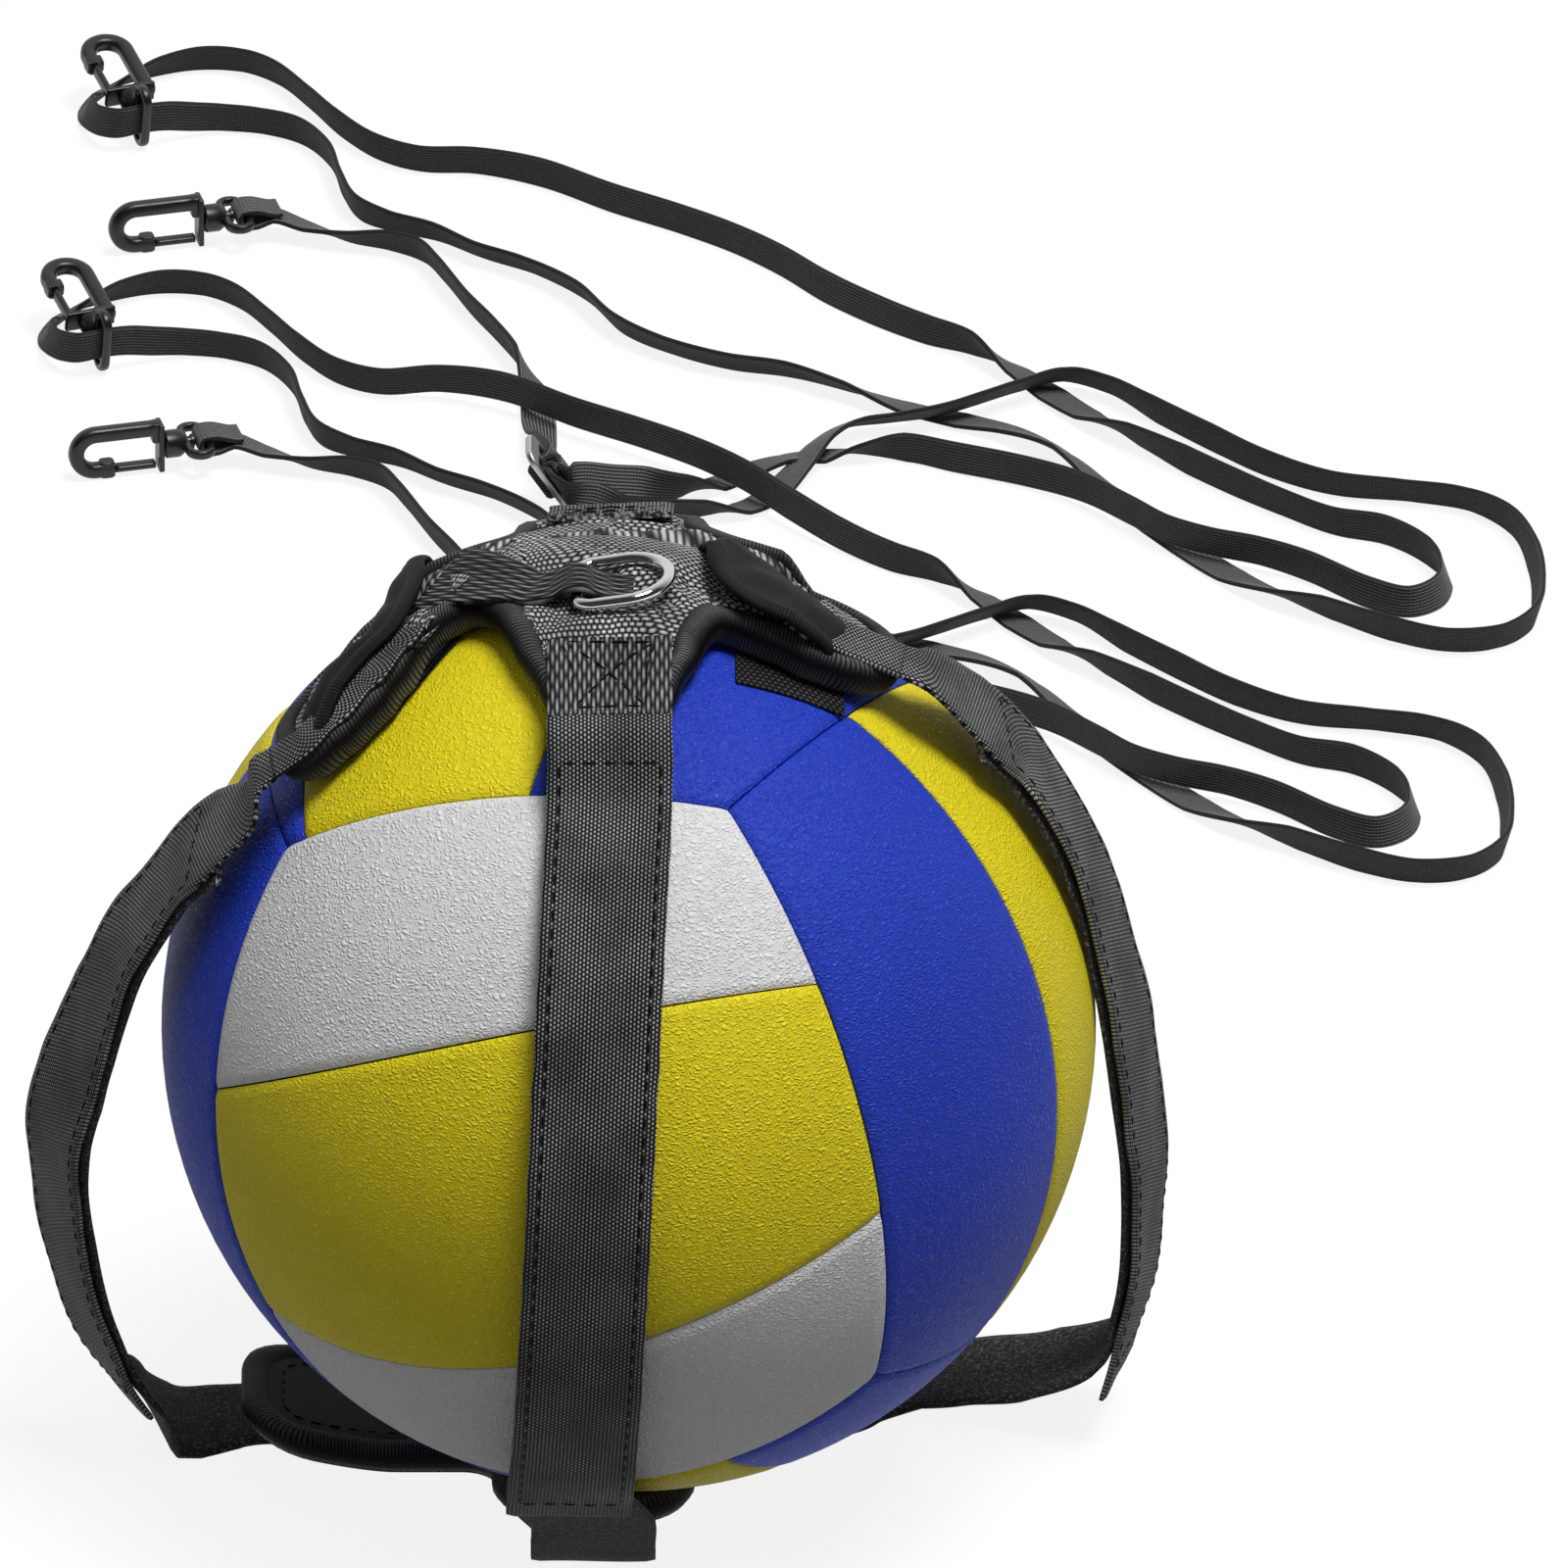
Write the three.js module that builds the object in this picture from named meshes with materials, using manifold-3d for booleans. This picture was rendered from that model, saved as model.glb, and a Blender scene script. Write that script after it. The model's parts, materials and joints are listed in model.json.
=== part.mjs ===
// Volleyball spike trainer: a ball held in a webbing harness, and two elastic straps with snap hooks.
// Millimetres, +Z up, +X to the right. The origin is on the floor, straight below the ball's centre.
import * as THREE from 'three';
import { mergeVertices } from 'three/addons/utils/BufferGeometryUtils.js';
import Module from 'manifold-3d';

const wasm = await Module();
wasm.setup();

// Driving dimensions of the ball
const ballRadius = 105;
const panelThickness = 2.2;
const panelBevel = 0.8;
const panelBevelWidth = 2.4;
const seamGap = 0.36;
const carcassThickness = 1.2;
const bladderThickness = 1.0;
const layerGap = 0.5;
const facetRoom = 1.6;
const valveRadius = 3.2;
const valveFlangeRadius = 7;
const valveFlangeThickness = 1.6;
const valveSink = 0.6;

// Driving dimensions of the harness
const fit = 0.3;
const clothThickness = 1.2;
const foamThickness = 4.6;
const baseFoamThickness = 2.6;
const liningThickness = 1.0;
const tapeThickness = 1.3;
const ballClearance = 1.2;
const baseClearance = 0.7;
const armWidth = 43;
const armCorner = 15;
const crotchRadius = 8;
const topArms = { right: 65, back: 60, left: 80, front: 58 };
const baseArms = { right: 46, back: 45, left: 78, front: 46 };
const lobeCurl = { right: 1.5, back: 1.5, left: 1, front: 0 };
const lobeCurlStart = 48;
const webbingWidth = 28;
const webbingThickness = 1.6;
const hookLoopGap = 0.8;
const sewnGap = 0.7;
const padCentre = { x: -8, y: 15 };
const topShift = { x: -4, y: 10 };
const rootWidths = { front: webbingWidth, back: webbingWidth, left: 10, right: 13 };
const endRise = 4;

// Driving dimensions of the D-ring and its tunnel
const ringWire = 3;
const ringInnerWidth = 17;
const ringInnerDepth = 18;
const tunnelWidth = 12.5;
const tunnelThickness = 1.3;
const tunnelLength = 58;
const ringRest = 9;

// Driving dimensions of the elastic straps and their fittings
const bandWidth = 8;
const bandThickness = 1.2;
const barThickness = 1.6;
const sliderLength = 19.6;
const sliderBar = 1.4;
const sliderCentreBar = 1.6;
const sliderSlot = 4.2;
const sliderSlotLength = 11.5;
const sliderCorner = 3.4;
const rodRadius = 1.8;
const legOffset = 4.6;
const hookReach = 30.3;
const hookTip = 10.7;
const collarStart = 7.9;
const collarThickness = 1.3;
const collarWidth = 5;
const collarHeight = 12;
const eyeLength = 16.4;
const eyeWidth = 7;
const eyeWire = 1.9;
const eyeHeight = 2.2;
const barrelRadius = 3.3;
const stemRadius = 1.3;
const stemHead = 1.75;
const stemHeadThickness = 0.8;
const stemClearance = 0.22;
const gateThickness = 1.8;
const gateWidth = 3;

// Counts
const panelLengthSteps = 8;
const panelWidthSteps = 5;
const coreSegments = 16;
const coreRings = 9;
const strapSteps = 24;
const rodSides = 8;

const degrees = Math.PI / 180;
const ballCentre = new THREE.Vector3(
  0, 0, ballRadius + webbingThickness + clothThickness + baseFoamThickness + liningThickness
    + 3 * fit + baseClearance);
const part = new THREE.Group();

function finish(colour, roughness, metalness = 0) {
  return new THREE.MeshStandardMaterial({ color: colour, roughness, metalness });
}

function place(name, geometry, material, parent = part) {
  const mesh = new THREE.Mesh(geometry, material);
  mesh.name = name;
  parent.add(mesh);
  return mesh;
}

function indexed(points, faces) {
  const geometry = new THREE.BufferGeometry();
  const values = points.flatMap((p) => [p.x, p.y, p.z]);
  geometry.setAttribute('position', new THREE.Float32BufferAttribute(values, 3));
  geometry.setIndex(faces.flat());
  return geometry;
}

function toSolid(geometry) {
  const bare = geometry.clone();
  bare.deleteAttribute('normal');
  bare.deleteAttribute('uv');
  const merged = mergeVertices(bare, 1e-4);
  return new wasm.Manifold(new wasm.Mesh({
    numProp: 3,
    vertProperties: new Float32Array(merged.attributes.position.array),
    triVerts: new Uint32Array(merged.index.array),
  }));
}

function toGeometry(solid) {
  const mesh = solid.getMesh();
  const geometry = new THREE.BufferGeometry();
  geometry.setAttribute('position', new THREE.Float32BufferAttribute(mesh.vertProperties, 3));
  geometry.setIndex(Array.from(mesh.triVerts));
  return geometry;
}

function cut(body, ...tools) {
  return toGeometry(tools.reduce((solid, tool) => solid.subtract(toSolid(tool)), toSolid(body)));
}

function join(body, ...others) {
  return toGeometry(others.reduce((solid, other) => solid.add(toSolid(other)), toSolid(body)));
}

// Turns a closed geometry's faces outwards where its signed volume is negative.
function outwards(geometry) {
  const p = geometry.attributes.position;
  const index = Array.from(geometry.index.array);
  const [a, b, c] = [new THREE.Vector3(), new THREE.Vector3(), new THREE.Vector3()];
  let volume = 0;
  for (let i = 0; i < index.length; i += 3) {
    a.fromBufferAttribute(p, index[i]).sub(ballCentre);
    b.fromBufferAttribute(p, index[i + 1]).sub(ballCentre);
    c.fromBufferAttribute(p, index[i + 2]).sub(ballCentre);
    volume += a.dot(b.cross(c));
  }
  if (volume < 0) {
    for (let i = 0; i < index.length; i += 3) [index[i], index[i + 1]] = [index[i + 1], index[i]];
    geometry.setIndex(index);
  }
  return geometry;
}

// A solid through equal rings of points; a closed loop joins its last ring to its first.
function loft(rings, loop = false) {
  const count = rings[0].length;
  const faces = [];
  const spans = loop ? rings.length : rings.length - 1;
  for (let i = 0; i < spans; i += 1) {
    const next = (i + 1) % rings.length;
    for (let j = 0; j < count; j += 1) {
      const k = (j + 1) % count;
      const [a, b, c, d] = [i * count + j, i * count + k, next * count + k, next * count + j];
      faces.push([a, b, c], [a, c, d]);
    }
  }
  if (!loop) {
    const last = (rings.length - 1) * count;
    for (let j = 1; j < count - 1; j += 1) {
      faces.push([0, j + 1, j], [last, last + j, last + j + 1]);
    }
  }
  return outwards(indexed(rings.flat(), faces));
}

// A flat strap swept along stations, each with its point and the direction across its width.
// Nothing of it goes below the floor.
function ribbon(stations, width, thickness, perStation = 1) {
  const curve = new THREE.CatmullRomCurve3(stations.map((s) => s.point), false, 'centripetal');
  const rings = [];
  const spans = stations.length - 1;
  for (let i = 0; i <= spans * perStation; i += 1) {
    const t = i / (spans * perStation);
    const at = Math.min(Math.floor(i / perStation), spans - 1);
    const share = i / perStation - at;
    const tangent = curve.getTangent(t);
    const across = stations[at].across.clone().lerp(stations[at + 1].across, share);
    across.addScaledVector(tangent, -across.dot(tangent)).normalize();
    const face = new THREE.Vector3().crossVectors(tangent, across);
    const centre = curve.getPoint(t);
    const wide = stations[at].width ?? width;
    const wideNow = THREE.MathUtils.lerp(wide, stations[at + 1].width ?? width, share);
    rings.push([[-1, -1], [1, -1], [1, 1], [-1, 1]].map(([a, b]) => {
      const edge = centre.clone().addScaledVector(across, a * wideNow / 2);
      edge.addScaledVector(face, b * thickness / 2);
      return edge.setZ(Math.max(edge.z, 0));
    }));
  }
  return loft(rings);
}

const leatherWhite = finish('#e8e6df', 0.55);
const leatherYellow = finish('#f2c400', 0.5);
const leatherBlue = finish('#2b3f9e', 0.5);
const rubber = finish('#2a2a2a', 0.8);
const threadWrap = finish('#cfc8b8', 0.9);
const nylonCloth = finish('#1d1d1f', 0.9);
const nylonWebbing = finish('#18181a', 0.85);
const liningCloth = finish('#141415', 0.8);
const foam = finish('#3a3a3c', 0.95);
const bindingTape = finish('#101011', 0.85);
const chrome = finish('#d8d8da', 0.15, 1);
const elastic = finish('#1b1b1d', 0.9);
const hookPlastic = finish('#161618', 0.35);
const sliderMetal = finish('#7c7d80', 0.3, 1);

// The ball: eight corners as directions from its centre, six faces of three panels each.
const cornerDirectionShares = {
  frontTopLeft: [-0.733, -0.318, 0.602],
  frontTopRight: [0.215, -0.542, 0.813],
  frontBaseRight: [0.531, -0.697, -0.482],
  frontBaseLeft: [-0.52, -0.356, -0.776],
  backTopLeft: [-0.45, 0.814, 0.36],
  backTopRight: [0.689, 0.532, 0.489],
  backBaseRight: [0.776, 0.452, -0.44],
  backBaseLeft: [-0.35, 0.463, -0.812],
};
const corner = Object.fromEntries(Object.entries(cornerDirectionShares)
  .map(([key, value]) => [key, new THREE.Vector3(...value).normalize()]));

// Each face runs from its start edge to its end edge; the seams' shares are given at both edges.
const ballFaces = [
  { name: 'front', start: ['frontTopLeft', 'frontBaseLeft'], end: ['frontTopRight', 'frontBaseRight'],
    startShares: [0.365, 0.72], endShares: [0.29, 0.66], colours: ['white', 'yellow', 'white'] },
  { name: 'right', start: ['frontTopRight', 'backTopRight'], end: ['frontBaseRight', 'backBaseRight'],
    startShares: [0.333, 0.667], endShares: [0.36, 0.68], colours: ['blue', 'yellow', 'blue'] },
  { name: 'top', start: ['frontTopRight', 'frontTopLeft'], end: ['backTopRight', 'backTopLeft'],
    startShares: [0.415, 0.945], endShares: [0.333, 0.667], colours: ['blue', 'yellow', 'blue'] },
  { name: 'left', start: ['backTopLeft', 'frontTopLeft'], end: ['backBaseLeft', 'frontBaseLeft'],
    startShares: [0.333, 0.667], endShares: [0.333, 0.667], colours: ['blue', 'yellow', 'blue'] },
  { name: 'back', start: ['backTopRight', 'backBaseRight'], end: ['backTopLeft', 'backBaseLeft'],
    startShares: [0.333, 0.667], endShares: [0.333, 0.667], colours: ['white', 'yellow', 'white'] },
  { name: 'base', start: ['frontBaseLeft', 'frontBaseRight'], end: ['backBaseLeft', 'backBaseRight'],
    startShares: [0.34, 0.68], endShares: [0.333, 0.667], colours: ['blue', 'yellow', 'blue'] },
];

function arcPoint(a, b, share) {
  const angle = a.angleTo(b);
  return a.clone().multiplyScalar(Math.sin((1 - share) * angle))
    .addScaledVector(b, Math.sin(share * angle))
    .divideScalar(Math.sin(angle));
}

// One panel: a curved plate between two seams, with its outer edges let down beside the seams.
function ballPanel(face, from, to) {
  const [a, b] = face.start.map((key) => corner[key]);
  const [c, d] = face.end.map((key) => corner[key]);
  const span = ballRadius * a.angleTo(c);
  const steps = (length, count) => {
    const inset = seamGap / 2 / length;
    const bevel = inset + panelBevelWidth / length;
    const inner = Array.from({ length: count - 1 }, (_, i) => bevel + (1 - 2 * bevel) * i / (count - 2));
    return [inset, ...inner, 1 - inset];
  };
  const width = ballRadius * a.angleTo(b) * (to[0] - from[0]);
  const along = steps(span, panelLengthSteps);
  const across = steps(width, panelWidthSteps);
  const surface = (radius, letDown) => along.flatMap((u, i) => across.map((v, j) => {
    const share = THREE.MathUtils.lerp(
      THREE.MathUtils.lerp(from[0], from[1], u), THREE.MathUtils.lerp(to[0], to[1], u), v);
    const point = arcPoint(arcPoint(a, b, share), arcPoint(c, d, share), u);
    const edge = i === 0 || j === 0 || i === along.length - 1 || j === across.length - 1;
    return point.normalize().multiplyScalar(edge ? radius - letDown : radius).add(ballCentre);
  }));
  const outer = surface(ballRadius, panelBevel);
  const inner = surface(ballRadius - panelThickness, 0);
  const columns = across.length;
  const rows = along.length;
  const faces = [];
  const quad = (p, q, r, s) => faces.push([p, q, r], [p, r, s]);
  for (let i = 0; i < rows - 1; i += 1) {
    for (let j = 0; j < columns - 1; j += 1) {
      const [p, q] = [i * columns + j, i * columns + j + 1];
      const [r, s] = [q + columns, p + columns];
      quad(p, s, r, q);
      quad(...[p, q, r, s].map((index) => index + outer.length));
    }
  }
  const rim = [];
  for (let j = 0; j < columns - 1; j += 1) rim.push(j);
  for (let i = 0; i < rows - 1; i += 1) rim.push(i * columns + columns - 1);
  for (let j = columns - 1; j > 0; j -= 1) rim.push((rows - 1) * columns + j);
  for (let i = rows - 1; i > 0; i -= 1) rim.push(i * columns);
  rim.forEach((p, k) => {
    const q = rim[(k + 1) % rim.length];
    quad(p, q, q + outer.length, p + outer.length);
  });
  return outwards(indexed([...outer, ...inner], faces));
}

// The valve leaves through the middle panel of the back face.
const valveDirection = ballFaces[4].start.concat(ballFaces[4].end)
  .reduce((sum, key) => sum.add(corner[key]), new THREE.Vector3()).normalize();
const carcassRadius = ballRadius - panelThickness - facetRoom;
const bladderRadius = carcassRadius - carcassThickness - layerGap;
const bladderInside = bladderRadius - bladderThickness;

function alongValve(radius, from, to, sides = 16) {
  const geometry = new THREE.CylinderGeometry(radius, radius, to - from, sides);
  const turn = new THREE.Quaternion().setFromUnitVectors(new THREE.Vector3(0, 1, 0), valveDirection);
  geometry.translate(0, (from + to) / 2, 0);
  geometry.applyQuaternion(turn);
  geometry.translate(...ballCentre);
  return geometry;
}

function coreBall(radius) {
  const geometry = new THREE.SphereGeometry(radius, coreSegments, coreRings);
  geometry.translate(...ballCentre);
  return geometry;
}

const valveHole = alongValve(valveRadius + fit, bladderInside / 2, ballRadius + valveFlangeRadius);
const leathers = { white: leatherWhite, yellow: leatherYellow, blue: leatherBlue };
for (const face of ballFaces) {
  const starts = [0, ...face.startShares, 1];
  const ends = [0, ...face.endShares, 1];
  face.colours.forEach((colour, i) => {
    let geometry = ballPanel(face, [starts[i], ends[i]], [starts[i + 1], ends[i + 1]]);
    if (face.name === 'back' && i === 1) geometry = cut(geometry, valveHole);
    place(`panel_${face.name}_${i + 1}`, geometry, leathers[colour]);
  });
}
const carcassInside = carcassRadius - carcassThickness;
place('ball_carcass', cut(coreBall(carcassRadius), coreBall(carcassInside), valveHole), threadWrap);
place('ball_bladder', cut(coreBall(bladderRadius), coreBall(bladderInside), valveHole), rubber);
const flangeTop = bladderInside * Math.cos(Math.PI / coreSegments) - facetRoom;
place('ball_valve', join(
  alongValve(valveRadius, flangeTop - valveFlangeThickness, ballRadius - valveSink),
  alongValve(valveFlangeRadius, flangeTop - valveFlangeThickness, flangeTop)), rubber);

// The padded crosses: an outline in its own plan, with rounded arm ends and filleted crotches.
const armOrder = ['right', 'back', 'left', 'front'];
function crossOutline(arms, grow = 0) {
  const half = armWidth / 2 + grow;
  const round = armCorner + grow;
  const crotch = crotchRadius - grow;
  const points = [];
  armOrder.forEach((side, turn) => {
    const reach = arms[side] + grow;
    const local = [];
    for (const share of [0, 0.5]) {
      local.push([THREE.MathUtils.lerp(half + crotch, reach - round, share), -half]);
    }
    for (const corner of [-1, 1]) {
      for (const angle of [0, 30, 60, 90]) {
        const turned = (corner > 0 ? angle : angle - 90) * degrees;
        const middle = corner * (half - round);
        local.push([reach - round + round * Math.cos(turned), middle + round * Math.sin(turned)]);
      }
    }
    for (const share of [0.5, 0]) {
      local.push([THREE.MathUtils.lerp(half + crotch, reach - round, share), half]);
    }
    local.push([half + crotch * (1 - Math.SQRT1_2), half + crotch * (1 - Math.SQRT1_2)]);
    const [cos, sin] = [Math.cos(turn * 90 * degrees), Math.sin(turn * 90 * degrees)];
    local.forEach(([x, y]) => points.push(new THREE.Vector2(x * cos - y * sin, x * sin + y * cos)));
  });
  return points;
}

// How far an arm's end curls away from the ball.
function curlLift(point) {
  const side = Math.abs(point.x) > Math.abs(point.y)
    ? (point.x > 0 ? 'right' : 'left') : (point.y > 0 ? 'back' : 'front');
  const along = Math.max(Math.abs(point.x), Math.abs(point.y));
  const share = Math.max(0, along - lobeCurlStart) / (topArms[side] - lobeCurlStart);
  return lobeCurl[side] * share * share;
}

// The top pad lies a little behind the ball's top. Its side arms are pulled to the front and creased by
// their straps, and its front arm narrows to its strap. Rows: share of the arm's reach, then the front
// edge's shift and the arm's width, as shares of the arm's full width.
const armPullShares = {
  right: [[0.25, 0, 1], [0.32, -0.12, 1.08], [0.58, -0.13, 1.05], [0.7, -0.19, 0.6], [1.1, -0.21, 0.55]],
  left: [[0.25, 0, 1], [0.34, 0.1, 0.93], [0.5, 0.09, 0.9], [0.6, -0.17, 0.86], [0.69, -0.34, 0.76],
    [0.8, -0.45, 0.64], [0.92, -0.53, 0.6], [1.1, -0.53, 0.6]],
  front: [[0.4, 0, 1], [0.62, 0, 0.86], [0.8, 0, 0.7], [1.1, 0, 0.66]],
};
// The front left notch is pulled back, as shares of the arm's width.
const notchShares = { at: [-0.6, -0.56], by: [-0.07, 0.2], over: 0.32 };
function armPull(side, share) {
  const rows = armPullShares[side];
  const next = rows.findIndex((row) => row[0] >= share);
  if (next < 1) return next < 0 ? rows[rows.length - 1].slice(1) : rows[0].slice(1);
  const t = THREE.MathUtils.smoothstep(share, rows[next - 1][0], rows[next][0]);
  return [1, 2].map((i) => THREE.MathUtils.lerp(rows[next - 1][i], rows[next][i], t));
}
function pulled(point) {
  const aside = Math.abs(point.x) - Math.abs(point.y);
  const flat = point.clone();
  if (aside > 0) {
    const side = point.x > 0 ? 'right' : 'left';
    const [shift, width] = armPull(side, Math.abs(point.x) / topArms[side]);
    const half = armWidth / 2;
    const moved = shift * armWidth - half + (point.y + half) * width;
    flat.y = THREE.MathUtils.lerp(point.y, moved, Math.min(1, 2.5 * aside / Math.abs(point.x)));
  }
  const ahead = -point.y - Math.abs(point.x);
  if (ahead > 0) {
    const [shift, width] = armPull('front', -point.y / topArms.front);
    const moved = shift * armWidth + point.x * width;
    flat.x = THREE.MathUtils.lerp(point.x, moved, Math.min(1, 2.5 * ahead / -point.y));
  }
  const [atX, atY] = notchShares.at.map((share) => share * armWidth);
  const near = Math.exp(-((point.x - atX) ** 2 + (point.y - atY) ** 2) / (notchShares.over * armWidth) ** 2);
  flat.x += notchShares.by[0] * armWidth * near;
  flat.y += notchShares.by[1] * armWidth * near;
  return flat;
}

// A point of the pad's plan, bent over the ball at a height above its skin.
function overBall(point, height) {
  const radius = ballRadius + ballClearance;
  const flat = new THREE.Vector2(point.x + topShift.x, point.y + topShift.y);
  const polar = flat.length() / (radius + foamThickness);
  const azimuth = Math.atan2(flat.y, flat.x);
  const out = radius + height + curlLift(point);
  return new THREE.Vector3(
    out * Math.sin(polar) * Math.cos(azimuth),
    out * Math.sin(polar) * Math.sin(azimuth),
    out * Math.cos(polar)).add(ballCentre);
}

// A layer of the top pad between two heights above the ball, on rings of its outline.
const padRingShares = [0.4, 0.68, 0.84, 1];
const padMiddleShares = [-0.42, 0.28];
function padLayer(outline, low, high) {
  const centre = new THREE.Vector2(...padMiddleShares).multiplyScalar(armWidth);
  const rings = padRingShares.map((share) => outline.map((p) => centre.clone().lerp(p, share)));
  const count = outline.length;
  const surface = (height) => [overBall(centre, height), ...rings.flat().map((p) => overBall(p, height))];
  const base = surface(low);
  const faces = [];
  const offset = base.length;
  for (let j = 0; j < count; j += 1) {
    const k = (j + 1) % count;
    faces.push([offset, offset + 1 + j, offset + 1 + k], [0, 1 + k, 1 + j]);
    for (let i = 0; i < rings.length - 1; i += 1) {
      const [a, b] = [1 + i * count + j, 1 + i * count + k];
      const [c, d] = [b + count, a + count];
      faces.push([offset + a, offset + d, offset + c], [offset + a, offset + c, offset + b]);
      faces.push([a, c, d], [a, b, c]);
    }
    const rim = 1 + (rings.length - 1) * count;
    faces.push([rim + j, rim + k, offset + rim + k], [rim + j, offset + rim + k, offset + rim + j]);
  }
  return indexed([...base, ...surface(high)], faces);
}

const topOutline = crossOutline(topArms).map(pulled);
const liningTop = liningThickness;
const foamTop = liningTop + fit + foamThickness;
const padTop = foamTop + fit + clothThickness;
place('top_pad_lining', padLayer(topOutline, 0, liningTop), liningCloth);
place('top_pad_foam', padLayer(topOutline, liningTop + fit, foamTop), foam);
place('top_pad_cover', padLayer(topOutline, foamTop + fit, padTop), nylonCloth);
const tapeInside = crossOutline(topArms, fit).map(pulled);
const tapeOutside = crossOutline(topArms, fit + tapeThickness).map(pulled);
place('top_pad_binding', loft(tapeInside.map((p, i) => [
  overBall(p, 0), overBall(tapeOutside[i], 0),
  overBall(tapeOutside[i], padTop), overBall(p, padTop)]), true), bindingTape);

// The base pad is the same cross, flat on the webbing under the ball.
function flatLayer(outline, low, high) {
  const settings = { depth: high - low, bevelEnabled: false };
  const geometry = new THREE.ExtrudeGeometry(new THREE.Shape(outline), settings);
  geometry.translate(padCentre.x, padCentre.y, low);
  return geometry;
}
const baseOutline = crossOutline(baseArms);
const baseLow = webbingThickness + fit;
const baseCoverTop = baseLow + clothThickness;
const baseFoamTop = baseCoverTop + fit + baseFoamThickness;
const baseTop = baseFoamTop + liningThickness;
place('base_pad_cover', flatLayer(baseOutline, baseLow, baseCoverTop), nylonCloth);
place('base_pad_foam', flatLayer(baseOutline, baseCoverTop + fit, baseFoamTop), foam);
place('base_pad_lining', flatLayer(baseOutline, baseFoamTop + fit, baseTop + fit), liningCloth);
const baseTapeShape = new THREE.Shape(crossOutline(baseArms, fit + tapeThickness));
baseTapeShape.holes.push(new THREE.Path(crossOutline(baseArms, fit)));
const baseTapeSettings = { depth: baseTop + fit - baseLow, bevelEnabled: false };
const baseTape = new THREE.ExtrudeGeometry(baseTapeShape, baseTapeSettings);
baseTape.translate(padCentre.x, padCentre.y, baseLow);
place('base_pad_binding', baseTape, bindingTape);

// Outer straps: sewn roots on the top pad, then flaps that hang down and press onto the inner straps.
const flapHeight = ballClearance + webbingThickness + hookLoopGap + webbingThickness / 2;
const rootStarts = { front: 36, back: 30, left: 45, right: 38 };

// A point over the ball at a polar angle in degrees, at a height above the ball's skin.
function aroundBall(azimuth, polar, height, aside = 0) {
  const radius = ballRadius + height;
  const flat = radius * Math.sin(polar * degrees);
  return new THREE.Vector3(
    flat * Math.cos(azimuth * degrees) - aside * Math.sin(azimuth * degrees),
    flat * Math.sin(azimuth * degrees) + aside * Math.cos(azimuth * degrees),
    radius * Math.cos(polar * degrees)).add(ballCentre);
}

// Rows: polar angle in degrees, reach from the centre and sideways drift, as shares of the ball's radius.
const bulgeShares = {
  left: [[50.1, 1.045, 0.257], [56.1, 1.053, 0.219], [62.1, 1.07, 0.171], [70.6, 1.086, 0.133],
    [78.6, 1.117, 0.095], [92, 1.182, 0.057], [100.4, 1.25, 0.029], [106.4, 1.285, 0],
    [116.3, 1.341, -0.029], [125.8, 1.4, -0.048], [131.5, 1.42, -0.057]],
  right: [[50.1, 1.073, 0], [55.7, 1.072, 0], [70.5, 1.056, 0.02], [81.9, 1.056, 0.04], [91.6, 1.078, 0.057],
    [102.2, 1.129, 0.086], [110.8, 1.194, 0.114], [119.8, 1.278, 0.148], [127.2, 1.353, 0.176],
    [132.1, 1.41, 0.19]],
};
const azimuthOf = { front: -90, back: 90, left: 180, right: 0 };
const flapEnd = 137;
const riseStartShare = 0.6;
const frontDriftShares = { front: -0.09, back: 0.02 };

function flapPoints(name) {
  const rows = bulgeShares[name];
  const azimuth = azimuthOf[name];
  if (rows) {
    return rows.map(([polar, reachShare, driftShare]) => aroundBall(
      azimuth, polar, ballRadius * (reachShare - 1), driftShare * ballRadius));
  }
  const toFront = name === 'front' ? 1 : -1;
  const from = (topArms[name] - toFront * topShift.y + armCorner) / ballRadius / degrees;
  return Array.from({ length: 11 }, (_, i) => {
    const share = i / 10;
    const rise = endRise * Math.max(0, share - riseStartShare) / (1 - riseStartShare);
    const aside = toFront * topShift.x + frontDriftShares[name] * ballRadius * share;
    return aroundBall(azimuth, THREE.MathUtils.lerp(from, flapEnd, share), flapHeight + rise, aside);
  });
}

function acrossOf(azimuth) {
  return new THREE.Vector3(-Math.sin(azimuth * degrees), Math.cos(azimuth * degrees), 0);
}

// The side straps are sewn on near the arms' front edges, as shares of the arm's width.
const rootAsideShares = { front: 0, back: 0, left: -0.28, right: -0.15 };
function rootPoint(name, along, past = 0) {
  const azimuth = azimuthOf[name] * degrees;
  const aside = rootAsideShares[name] * armWidth + past;
  const toFront = name === 'left' ? -1 : 1;
  const plan = new THREE.Vector2(
    along * Math.cos(azimuth) - toFront * aside * Math.sin(azimuth),
    along * Math.sin(azimuth) + toFront * aside * Math.cos(azimuth));
  return overBall(pulled(plan), padTop + sewnGap + webbingThickness / 2);
}
function rootAcross(name, along) {
  const across = rootPoint(name, along, fit).sub(rootPoint(name, along, -fit)).normalize();
  return across.dot(acrossOf(azimuthOf[name])) < 0 ? across.negate() : across;
}
// The side flaps turn their faces to the front on the way down.
const flapTurns = { front: 0, back: 0, left: 24, right: -15 };
const turnStartShare = 0.1;
const turnEndShare = 0.6;
function flapAcross(name, share) {
  const turn = flapTurns[name] * THREE.MathUtils.smoothstep(share, turnStartShare, turnEndShare);
  return rootAcross(name, topArms[name]).lerp(acrossOf(azimuthOf[name] + turn), Math.min(1, 3 * share));
}

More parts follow.
